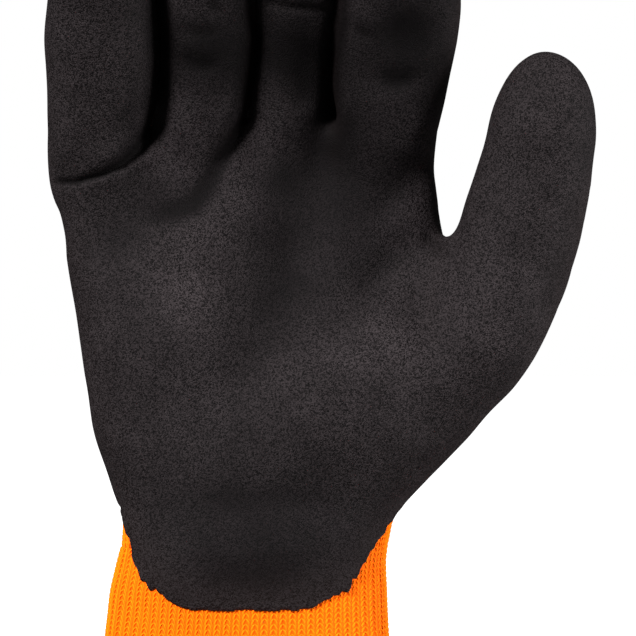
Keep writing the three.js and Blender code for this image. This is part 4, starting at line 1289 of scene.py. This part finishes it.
def build_latex():
    """The latex as a closed wall, rounded off at its edge, with the masks of its folds' painted
    shade and of its scuffing, painted highlights and painted shade.
    """
    latex = bpy.context.scene.glove_latex
    skin = skin_of(FINE)
    field = coat_field(skin)
    faces, pairs = cut_faces(skin, field)
    depth = np.maximum(between(field, pairs), 0)
    depth[len(skin.points) :] = 0
    normals = unit(between(skin.normals, pairs))
    folded = between(skin.folded, pairs)
    near = np.clip(depth / (latex.edge_round / MM), 0, 1)
    full = lerp(EDGE_THICK, 1, np.sqrt(1 - (1 - near) ** 2))
    wall = latex.wall / MM
    outer = folded - normals * (wall * (1 - full))[:, None]
    inner = folded - normals * wall
    points, walls, used = closed_wall(outer, inner, faces)
    piece = make_mesh("latex_coating", points, walls, latex_material())
    # The crease mask darkens the folds' colour as painted shade; the next mask is scuffing by use
    # with painted highlights and painted shade, paler still at the edge.
    for name, values in (
        ("crease", between(skin.crease, pairs)),
        ("worn", scuff_and_painted_light_at(folded) + EDGE_SCUFF_AND_PAINTED_LIGHT * (1 - smoothstep(depth, 0, EDGE_PALENESS_REACH))),
        ("edge", 1 - smoothstep(depth, 0, THIN_LATEX)),
    ):
        set_floats(piece, name, np.tile(values[used], 2))
    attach(piece, "root")
    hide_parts("palm_coating")


# The knit

# Depths below the outermost face and thicknesses, in mm: the bare knit's face, the same beside the
# latex's edge, and the wall under the latex
KNIT_WALL = 2.1
BARE_DEPTH = 0.75
EDGE_DEPTH = 0.55
COATED_DEPTH = 1.2
# How far inside the latex's edge, in mm, the knit's face rises to it and the wall sinks under it
EDGE_RISE = (-9, -1)
COATED_SINK = (0.2, 1.5)
# How far the wall and the stitches' middles lie below the knit's face, how far a stitch stands out
# for its thickness of one, and the ribs' rise
WALL_DEPTH = 0.62
STITCH_DEPTH = 0.65
STITCH_THICK = 2.0
RIB_RISE = 0.07
# The cuff's wall: columns in each wale, and rows
RIB_PARTS = 6
CUFF_ROWS = 34
# Wales over each finger's width at the front and the back, and round each side
CUFF_WALES = {"front": 6, "back": 7, "side": 6}
HAND_WALES = {"front": 10, "back": 11, "side": 6}
# A stitch shows where the latex covers no more than this, in mm, and where its wale is this wide
STITCH_COVER = 0.2
STITCH_LEAST = 0.9
# The shade of the stitches: its mean and its spread
STITCH_SHADE = (0.62, 0.16)
# How far up and down a stitch's direction is taken, in rows, and how much of its lean is taken out
STITCH_REACH = 0.3
STITCH_UPRIGHT = 0.5
# Just inside a region's last row, and every so many columns are measured for its length
LAST_ROW = 1.001
LENGTH_COLUMNS = 8
# The seeds of the shades on the cuff, the heel, the palm and the hem
CUFF_SEED = 40
HEEL_SEED = 11
PALM_SEED = 12
HEM_SEED = 50


def coat_field(skin):
    """How far inside the latex's edge each point of a skin lies, worked out once."""
    if not hasattr(skin, "field"):
        skin.field = coat_depth(skin.points, skin.wraps, skin.covers)
    return skin.field


def knit_depth(field):
    """How deep the knit's face lies: a little deeper away from the latex than beside its edge."""
    return lerp(BARE_DEPTH, EDGE_DEPTH, smoothstep(field, *EDGE_RISE))


def wall_depth(field):
    """The knit wall's depth: below the stitches where it is bare, against the latex elsewhere."""
    coated = smoothstep(field, *COATED_SINK)
    return lerp(knit_depth(field) + WALL_DEPTH, COATED_DEPTH, coated)


def build_knit_body():
    """The knitted hand, fingers and thumb as one hollow wall below the stitches."""
    skin = skin_of(COARSE)
    first = skin.regions["heel"][0][0]
    faces = [c for c in [*skin.quads.tolist(), *skin.tips.tolist()] if min(c) >= first]
    outer = skin.folded - skin.normals * wall_depth(coat_field(skin))[:, None]
    inner = skin.folded - skin.normals * (BARE_DEPTH + KNIT_WALL)
    points, walls, _ = closed_wall(outer, inner, faces)
    piece = make_mesh("knit_body", points, walls, knit_materials()[1])
    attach(piece, "root")
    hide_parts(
        "knit_hand", "knit_little", "knit_ring", "knit_middle", "knit_index", "knit_thumb"
    )


def wale_columns(grid, groups, wales, parts=1):
    """The columns of a ring in the middle of its wales: over its front, thumb side, back and little
    side. With more parts, each wale gives so many columns, evenly through it."""
    steps = groups * grid.front
    columns, start = [], 0
    for length, count in (
        (steps, groups * wales["front"]),
        (grid.side, wales["side"]),
        (steps, groups * wales["back"]),
        (grid.side, wales["side"]),
    ):
        count *= parts
        offset = 0.5 if parts == 1 else 0
        columns.append(start + (np.arange(count) + offset) * length / count)
        start += length
    return np.concatenate(columns)


def sampled(values, rows, columns):
    """Values of a region at fractional rows and columns; the columns run round and meet."""
    low = np.clip(np.floor(rows).astype(int), 0, len(values) - 2)
    t = (rows - low)[:, None]
    left = np.floor(columns).astype(int) % values.shape[1]
    s = (columns - np.floor(columns))[None, :]
    right = (left + 1) % values.shape[1]
    if values.ndim > 2:
        t, s = t[..., None], s[..., None]
    lower = lerp(values[low][:, left], values[low][:, right], s)
    upper = lerp(values[low + 1][:, left], values[low + 1][:, right], s)
    return lerp(lower, upper, t)


def stitch_sites(region, groups, wales, course, seed):
    """Where the stitches of a region lie: place, turn, size and shade of each that shows."""
    skin = skin_of(FINE)
    ids = skin.regions[region]
    deep = knit_depth(coat_field(skin)) + STITCH_DEPTH
    faces = (skin.folded - skin.normals * deep[:, None])[ids]
    normals = skin.normals[ids]
    columns = wale_columns(skin.grid, groups, wales)
    lines = faces[:, ::LENGTH_COLUMNS]
    length = np.linalg.norm(np.diff(lines, axis=0), axis=2).sum(0).mean()
    count = round(length / course)
    rows = (np.arange(count) + 0.5) * (len(ids) - 1) / count
    place = sampled(faces, rows, columns)
    normal = unit(sampled(normals, rows, columns))
    field = sampled(coat_field(skin)[ids], rows, columns)
    up = sampled(faces, np.minimum(rows + STITCH_REACH, len(ids) - LAST_ROW), columns)
    up = up - sampled(faces, np.maximum(rows - STITCH_REACH, 0), columns)
    following = np.roll(place, -1, axis=1)
    wide = np.linalg.norm(following - place, axis=2)
    wide = (wide + np.roll(wide, 1, axis=1)) / 2
    across = following - np.roll(place, 1, axis=1)
    across = unit(across - normal * (across * normal).sum(2, keepdims=True))
    up = unit(up - normal * (up * normal).sum(2, keepdims=True))
    up = unit(up - across * (up * across).sum(2, keepdims=True) * STITCH_UPRIGHT)
    across = unit(np.cross(up, normal))
    high = np.linalg.norm(np.gradient(place, axis=0), axis=2)
    shown = (field < STITCH_COVER) & (wide > STITCH_LEAST)
    rng = np.random.default_rng(seed)
    shade = np.clip(rng.normal(*STITCH_SHADE, wide.shape), 0, 1)
    turns = np.stack([across, up, normal], 3)[shown]
    size = np.stack([wide, high, np.full_like(wide, STITCH_THICK)], 2)[shown]
    return place[shown], turns, size, shade[shown]


def site_mesh(name, sites):
    """A mesh of loose points that carry a turn, a size and a shade each."""
    places, turns, sizes, shades = (np.concatenate(part) for part in zip(*sites))
    mesh = bpy.data.meshes.new(name)
    mesh.vertices.add(len(places))
    mesh.vertices.foreach_set("co", (places * MM).ravel())
    turned = np.array([Matrix(turn.tolist()).to_quaternion() for turn in turns])
    for key, kind, field, values in (
        ("turn", "QUATERNION", "value", turned),
        ("size", "FLOAT_VECTOR", "vector", sizes * MM),
        ("shade", "FLOAT", "value", shades),
    ):
        mesh.attributes.new(key, kind, "POINT").data.foreach_set(field, values.ravel())
    return bpy.data.objects.new(name, mesh)


def copies_tree(name, sizes):
    """A new tree with its inputs, each size by its name and default, and its start node."""
    tree = bpy.data.node_groups.new(name, "GeometryNodeTree")
    new_socket = tree.interface.new_socket
    new_socket("Geometry", in_out="OUTPUT", socket_type="NodeSocketGeometry")
    new_socket("Geometry", in_out="INPUT", socket_type="NodeSocketGeometry")
    for key, size in sizes.items():
        new_socket(key, in_out="INPUT", socket_type="NodeSocketFloat").default_value = size
    new_socket("Material", in_out="INPUT", socket_type="NodeSocketMaterial")
    return tree, tree.nodes.new("NodeGroupInput").outputs


def placed_copies(tree, start, shapes):
    """Ends a tree: the shapes at every site, turned and sized by its attributes, made real."""

    def attribute(name, kind):
        node = add_node(tree, "GeometryNodeInputNamedAttribute", {"Name": name}, data_type=kind)
        return next(s for s in node.outputs if s.name == "Attribute" and s.enabled)

    join = tree.nodes.new("GeometryNodeJoinGeometry")
    for shape in shapes:
        tree.links.new(shape, join.inputs["Geometry"])
    made = add_node(tree, "GeometryNodeInstanceOnPoints", {
        "Points": start["Geometry"],
        "Instance": join.outputs["Geometry"],
        "Rotation": attribute("turn", "QUATERNION"),
        "Scale": attribute("size", "FLOAT_VECTOR"),
    })
    for kind in ("GeometryNodeRealizeInstances", "GeometryNodeSetShadeSmooth"):
        made = add_node(tree, kind, {"Geometry": made.outputs[0]})
    inputs = {"Geometry": made.outputs[0], "Material": start["Material"]}
    made = add_node(tree, "GeometryNodeSetMaterial", inputs)
    add_node(tree, "NodeGroupOutput", {"Geometry": made.outputs[0]})


def thread(tree, corners, steps, radius, sides):
    """A closed tube along a curve of four corners."""
    path = add_node(tree, "GeometryNodeCurvePrimitiveBezierSegment", {"Resolution": steps})
    for name, corner in zip(("Start", "Start Handle", "End Handle", "End"), corners):
        place = add_node(tree, "ShaderNodeCombineXYZ", dict(enumerate(corner)))
        feed(tree, path.inputs[name], place.outputs["Vector"])
    inputs = {"Resolution": sides, "Radius": radius}
    ring = add_node(tree, "GeometryNodeCurvePrimitiveCircle", inputs)
    tube = add_node(tree, "GeometryNodeCurveToMesh", {
        "Curve": path.outputs["Curve"],
        "Profile Curve": ring.outputs["Curve"],
        "Fill Caps": True,
    })
    return tube.outputs["Mesh"]


# A stitch's arm, from its foot up: at each corner its place across, as a share of the foot's or the
# spread's, its place along as a share of the reach, and its height over the wall
STITCH_ARM = (
    ("Foot", 1, -1, -0.12),
    ("Spread", 0.3, -0.2, 0.12),
    ("Spread", 0.62, 0.5, 0.14),
    ("Spread", 1, 0.67, -0.1),
)
STITCH_SIZES = {"Yarn Radius": 0.12675, "Foot": 0.14, "Spread": 0.46, "Reach": 0.9}
# A stitch's arm and an overlock thread: steps along it and sides round it
STITCH_STEPS, STITCH_SIDES = 3, 4
THREAD_STEPS, THREAD_SIDES = 6, 6


def stitch_tree():
    """Knit stitches: at every site a V of two yarn arms, sized to the wale and the course."""
    tree, start = copies_tree("knit stitches", STITCH_SIZES)
    corners = []
    for side, out, up, high in STITCH_ARM:
        across = maths(tree, "MULTIPLY", start[side], out)
        corners.append((across, maths(tree, "MULTIPLY", start["Reach"], up), high))
    arm = thread(tree, corners, STITCH_STEPS, start["Yarn Radius"], STITCH_SIDES)
    inputs = {"Geometry": arm, "Scale": (-1, 1, 1)}
    other = add_node(tree, "GeometryNodeTransform", inputs).outputs["Geometry"]
    other = add_node(tree, "GeometryNodeFlipFaces", {"Mesh": other}).outputs["Mesh"]
    placed_copies(tree, start, (arm, other))
    return tree


def grown(name, sites, tree, values):
    """A plain mesh from the sites and a tree, with the modifier gone."""
    source = site_mesh(f"{name}_sites", sites)
    bpy.context.scene.collection.objects.link(source)
    modifier = source.modifiers.new("copies", "NODES")
    modifier.node_group = tree
    for item in tree.interface.items_tree:
        if item.item_type == "SOCKET" and item.in_out == "INPUT" and item.name in values:
            modifier[item.identifier] = values[item.name]
    bpy.context.view_layer.update()
    evaluated = source.evaluated_get(bpy.context.evaluated_depsgraph_get())
    mesh = bpy.data.meshes.new_from_object(evaluated)
    source.modifiers.clear()
    bpy.data.objects.remove(source)
    if not len(mesh.polygons):
        raise RuntimeError(f"{name} came out empty")
    piece = bpy.data.objects.new(name, mesh)
    mesh.name = name
    bpy.context.scene.collection.objects.link(piece)
    return piece


def stitch_piece(name, sites):
    tree = bpy.data.node_groups.get("knit stitches") or stitch_tree()
    values = {"Yarn Radius": bpy.context.scene.glove_knit.yarn, "Material": knit_materials()[0]}
    piece = grown(name, sites, tree, values)
    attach(piece, "root")
    return piece


# Each region of a finger, how many fingers it is wide and the seed of its stitches' shades
FINGER_REGIONS = (
    ("little", 1, 21), ("ring", 1, 22), ("middle", 1, 23), ("index", 1, 24), ("thumb", 1, 30),
)


def build_hand_stitches():
    """The stitches of the heel, of the rest of the hand and of the fingers and the thumb."""
    course = bpy.context.scene.glove_knit.hand_course / MM
    for name, regions in (
        ("heel_stitches", (("heel", GROUPS, HEEL_SEED),)),
        ("hand_stitches", (("palm", GROUPS - 1, PALM_SEED),)),
        ("finger_stitches", FINGER_REGIONS),
    ):
        sites = [stitch_sites(r, groups, HAND_WALES, course, seed) for r, groups, seed in regions]
        stitch_piece(name, sites)


def build_cuff():
    """The cuff: a wall with a soft rib for each wale, and its stitches."""
    skin = skin_of(FINE)
    ids = skin.regions["cuff"]
    columns = wale_columns(skin.grid, GROUPS, CUFF_WALES, RIB_PARTS)
    rows = np.linspace(0, len(ids) - 1, CUFF_ROWS)
    face = sampled(skin.folded[ids], rows, columns)
    normal = unit(sampled(skin.normals[ids], rows, columns))
    turn = np.arange(len(columns)) % RIB_PARTS / RIB_PARTS - 0.5
    rib = RIB_RISE * np.cos(2 * math.pi * turn)
    deep = wall_depth(sampled(coat_field(skin)[ids], rows, columns))[..., None]
    outer = face - normal * (deep - rib[None, :, None])
    inner = face - normal * (BARE_DEPTH + KNIT_WALL)
    count = len(columns)
    grid = np.arange(len(rows) * count).reshape(len(rows), count)
    faces = np.stack(
        [grid[:-1], np.roll(grid[:-1], -1, 1), np.roll(grid[1:], -1, 1), grid[1:]], 2
    ).reshape(-1, 4)
    points, walls, _ = closed_wall(outer.reshape(-1, 3), inner.reshape(-1, 3), faces.tolist())
    piece = make_mesh("cuff_wall", points, walls, knit_materials()[1])
    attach(piece, "root")
    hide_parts("knit_cuff")
    course = bpy.context.scene.glove_knit.cuff_course / MM
    sites = stitch_sites("cuff", GROUPS, CUFF_WALES, course, CUFF_SEED)
    stitch_piece("cuff_stitches", [sites])


# The hem's section: inset from the face and height, in mm, from its top outside, round the mouth
HEM_SECTION = (
    (0.35, 7.2), (-0.1, 6.8), (-0.25, 5.6), (-0.3, 4.0), (-0.25, 2.2), (0.0, 1.0),
    (0.7, 0.25), (2.0, 0.05), (3.3, 0.25), (4.2, 1.0), (4.4, 2.4), (4.4, 6.0),
    (3.9, 7.0), (3.3, 6.6), (3.2, 4.0), (2.0, 3.2), (1.3, 4.0), (1.0, 6.6),
)
# The threads over the hem, in mm: their pitch, and how far they stand off the band. Their middle
# and their half length are shares of the hem's height.
HEM_STEP = 1.6
HEM_PITCH = 1.25
HEM_LIFT = 0.25
HEM_MIDDLE = 0.52
HEM_HALF = 0.46
HEM_SHADE = 0.35
THREAD_SHADE = (0.6, 0.14)
# Places round the mouth that are measured to space the threads
MOUTH_PLACES = 2400


def hem_ring(spacing):
    """Places round the mouth at a spacing, with their outward directions, low and high."""
    skin = skin_of(FINE)
    ids = skin.regions["cuff"]
    rows = np.array([0, HEM_HEIGHT / CUFF_LENGTH * (len(ids) - 1)])
    steps = np.linspace(0, ids.shape[1], MOUTH_PLACES + 1)[:-1]
    ring = sampled(skin.folded[ids], rows[:1], steps)[0]
    gone = np.linalg.norm(np.roll(ring, -1, 0) - ring, axis=1)
    walked = np.concatenate([[0], np.cumsum(gone)])
    count = round(walked[-1] / spacing)
    goals = np.arange(count) / count * walked[-1]
    columns = np.interp(goals, walked, np.append(steps, ids.shape[1]))
    places = sampled(skin.folded[ids], rows, columns)
    normals = sampled(skin.normals[ids], rows, columns)
    normals[..., 2] = 0
    return places, unit(normals)


def build_hem():
    """The overlocked edge: a rolled band round the mouth, wound with thread."""
    places, normals = hem_ring(HEM_STEP)
    count = places.shape[1]
    rings = []
    for inset, height in HEM_SECTION:
        share = height / HEM_HEIGHT
        ring = lerp(places[0], places[1], share) - lerp(normals[0], normals[1], share) * inset
        ring[:, 2] = height
        rings.append(ring)
    grid = np.arange(len(rings) * count).reshape(len(rings), count)
    below = np.roll(grid, -1, 0)
    faces = np.stack([grid, below, np.roll(below, -1, 1), np.roll(grid, -1, 1)], 2).reshape(-1, 4)
    material = knit_materials()[2]
    piece = make_mesh("cuff_hem_band", np.vstack(rings), faces.tolist(), material)
    set_floats(piece, "shade", np.full(len(piece.data.vertices), HEM_SHADE))
    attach(piece, "root")
    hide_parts("cuff_hem")
    places, normals = hem_ring(HEM_PITCH)
    out = unit(normals[0] + normals[1])
    middle = (places[0] + places[1]) / 2 + out * HEM_LIFT
    middle[:, 2] = HEM_HEIGHT * HEM_MIDDLE
    up = unit(places[1] - places[0])
    across = unit(np.cross(up, out))
    up = unit(np.cross(out, across))
    turns = np.stack([across, up, out], 2)
    size = np.tile([HEM_PITCH, HEM_HEIGHT * HEM_HALF, 1.0], (len(middle), 1))
    shade = np.random.default_rng(HEM_SEED).normal(*THREAD_SHADE, len(middle))
    tree = bpy.data.node_groups.get("overlock threads") or overlock_tree()
    threads = grown("hem_threads", [(middle, turns, size, shade)], tree, {"Material": material})
    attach(threads, "root")


# The overlock's threads, by their corners: one slants over the band, its places across being shares
# of the slant, and one loops at the band's top
OVERLOCK_SLANT = ((-1, -1.0, -0.35), (-1, -0.6, 0.35), (1, 0.6, 0.35), (1, 1.0, -0.2))
OVERLOCK_SIZES = {"Thread Radius": 0.264, "Slant": 0.62}
OVERLOCK_LOOP = ((-0.55, 0.86, 0.2), (-0.2, 1.08, 0.45), (0.2, 1.08, 0.45), (0.55, 0.86, 0.2))


def overlock_tree():
    """Overlock threads: at every site a thread slants over the band and loops at its top."""
    tree, start = copies_tree("overlock threads", OVERLOCK_SIZES)
    slant = []
    for side, up, high in OVERLOCK_SLANT:
        slant.append((maths(tree, "MULTIPLY", start["Slant"], side), up, high))
    sizes = (THREAD_STEPS, start["Thread Radius"], THREAD_SIDES)
    placed_copies(tree, start, [thread(tree, c, *sizes) for c in (slant, OVERLOCK_LOOP)])
    return tree


# The stage, in metres

CAMERA_PLACE = (0.0173, -0.9, 0.1242)
CAMERA_LENS = 185.94
CAMERA_REACH = 100
SENSOR_WIDTH = 36
FLOOR_SIZE = 12
# How far from the glove the floor turns white to the camera, and its faint mottle
FLOOR_GLOW = (0.15, 0.42, 0.1, 1.0)
PAPER_SCALE = 30
PAPER_SHADE = 0.985
PAPER_ROUGH = 0.9
WHITE = (1, 1, 1, 1)
# The soft lights: each one's setting, place and size, all aimed at the glove's middle
LIGHT_AIM = (0, 0, 0.13)
LIGHTS = records(
    "name place size", ("key", (-0.62, -0.95, 0.95), 0.4), ("side", (1.0, -0.18, 0.12), 0.5)
)


def soft_light(name, place, size, power):
    light = bpy.data.lights.new(name, "AREA")
    light.shape = "DISK"
    light.size = size
    light.energy = power
    lamp = bpy.data.objects.new(name, light)
    lamp.location = place
    lamp.rotation_euler = (Vector(LIGHT_AIM) - Vector(place)).to_track_quat("-Z", "Y").to_euler()
    bpy.context.scene.collection.objects.link(lamp)


def floor_material(studio):
    """Plain pale paper that is white to the camera away from the glove, and dim to its light."""
    material, tree, shader = new_material("pale_floor")
    place = add_node(tree, "ShaderNodeTexCoord").outputs["Object"]
    away = add_node(tree, "ShaderNodeVectorMath", {0: place}, operation="LENGTH")
    seen = add_node(tree, "ShaderNodeLightPath").outputs["Is Camera Ray"]
    far = ranged(tree, away.outputs["Value"], *FLOOR_GLOW)
    pale = np.array(studio.floor_colour)
    paper = mixed_colour(tree, noise_at(tree, place, PAPER_SCALE, 3), pale, pale * PAPER_SHADE)
    feed(tree, shader.inputs["Base Color"], mixed_colour(tree, seen, pale * studio.bounce, paper))
    shader.inputs["Roughness"].default_value = PAPER_ROUGH
    shader.inputs["Emission Color"].default_value = WHITE
    feed(tree, shader.inputs["Emission Strength"], maths(tree, "MULTIPLY", far, seen))
    return material


def build_stage():
    """The floor, the two soft lights, the pale surround and the camera at the photo's angle."""
    scene = bpy.context.scene
    studio = scene.glove_studio
    half = FLOOR_SIZE / 2 / MM
    corners = [(-half, -half, 0), (half, -half, 0), (half, half, 0), (-half, half, 0)]
    floor = make_mesh("floor", corners, [(0, 1, 2, 3)], floor_material(studio), smooth=False)
    for lamp in LIGHTS:
        name = lamp["name"]
        soft_light(f"{name}_light", lamp["place"], lamp["size"], getattr(studio, name))

    world = scene.world or bpy.data.worlds.new("surround")
    scene.world = world
    world.use_nodes = True
    tree = world.node_tree
    tree.nodes.clear()
    seen = add_node(tree, "ShaderNodeLightPath").outputs["Is Camera Ray"]
    inputs = {"Value": seen, "To Min": studio.sky, "To Max": 1.0}
    level = add_node(tree, "ShaderNodeMapRange", inputs).outputs["Result"]
    surround = add_node(tree, "ShaderNodeBackground", {"Color": WHITE, "Strength": level})
    add_node(tree, "ShaderNodeOutputWorld", {"Surface": surround.outputs["Background"]})

    camera = bpy.data.objects.new("camera", bpy.data.cameras.new("camera"))
    camera.location = CAMERA_PLACE
    camera.rotation_euler = (math.pi / 2, 0, 0)
    camera.data.lens = CAMERA_LENS
    camera.data.sensor_width = SENSOR_WIDTH
    camera.data.clip_end = CAMERA_REACH
    scene.collection.objects.link(camera)
    scene.camera = camera
    scene.view_settings.view_transform = "Standard"
    scene.view_settings.look = "None"


# Operators and the panel


class GLOVE_OT_latex(bpy.types.Operator):
    """Build the dipped latex over the palm, the finger fronts and the thumb"""

    bl_idname = "glove.latex"
    bl_label = "Latex Coating"

    def execute(self, context):
        build_latex()
        return {"FINISHED"}


class GLOVE_OT_knit_body(bpy.types.Operator):
    """Build the knitted hand, fingers and thumb as one hollow wall"""

    bl_idname = "glove.knit_body"
    bl_label = "Knitted Hand"

    def execute(self, context):
        build_knit_body()
        return {"FINISHED"}


class GLOVE_OT_hand_stitches(bpy.types.Operator):
    """Lay the knit stitches over the bare heel, hand, fingers and thumb"""

    bl_idname = "glove.hand_stitches"
    bl_label = "Hand Stitches"

    def execute(self, context):
        build_hand_stitches()
        return {"FINISHED"}


class GLOVE_OT_cuff(bpy.types.Operator):
    """Build the ribbed cuff and its stitches"""

    bl_idname = "glove.cuff"
    bl_label = "Cuff"

    def execute(self, context):
        build_cuff()
        return {"FINISHED"}


class GLOVE_OT_hem(bpy.types.Operator):
    """Build the overlocked hem at the cuff's mouth"""

    bl_idname = "glove.hem"
    bl_label = "Hem"

    def execute(self, context):
        build_hem()
        return {"FINISHED"}


class GLOVE_OT_stage(bpy.types.Operator):
    """Set the pale floor, the soft lights and the camera"""

    bl_idname = "glove.stage"
    bl_label = "Stage"

    def execute(self, context):
        build_stage()
        return {"FINISHED"}


OPERATORS = (
    GLOVE_OT_latex,
    GLOVE_OT_knit_body,
    GLOVE_OT_hand_stitches,
    GLOVE_OT_cuff,
    GLOVE_OT_hem,
    GLOVE_OT_stage,
)


class GLOVE_PT_panel(bpy.types.Panel):
    """The glove's pieces, sizes and colours"""

    bl_idname = "GLOVE_PT_panel"
    bl_label = "Glove"
    bl_space_type = "VIEW_3D"
    bl_region_type = "UI"
    bl_category = "Glove"

    def draw(self, context):
        for name in SETTINGS:
            box = self.layout.box()
            settings = getattr(context.scene, name)
            for key in settings.__annotations__:
                box.prop(settings, key)
        for operator in OPERATORS:
            self.layout.operator(operator.bl_idname)


SETTINGS = {"glove_latex": GloveLatex, "glove_knit": GloveKnit, "glove_studio": GloveStudio}
CLASSES = (*SETTINGS.values(), *OPERATORS, GLOVE_PT_panel)


def register():
    for cls in CLASSES:
        bpy.utils.register_class(cls)
    for name, cls in SETTINGS.items():
        setattr(bpy.types.Scene, name, bpy.props.PointerProperty(type=cls))


def unregister():
    for name in SETTINGS:
        delattr(bpy.types.Scene, name)
    for cls in reversed(CLASSES):
        bpy.utils.unregister_class(cls)


def main():
    register()
    for operator in OPERATORS:
        group, name = operator.bl_idname.split(".")
        getattr(getattr(bpy.ops, group), name)()


if __name__ == "__main__":
    main()
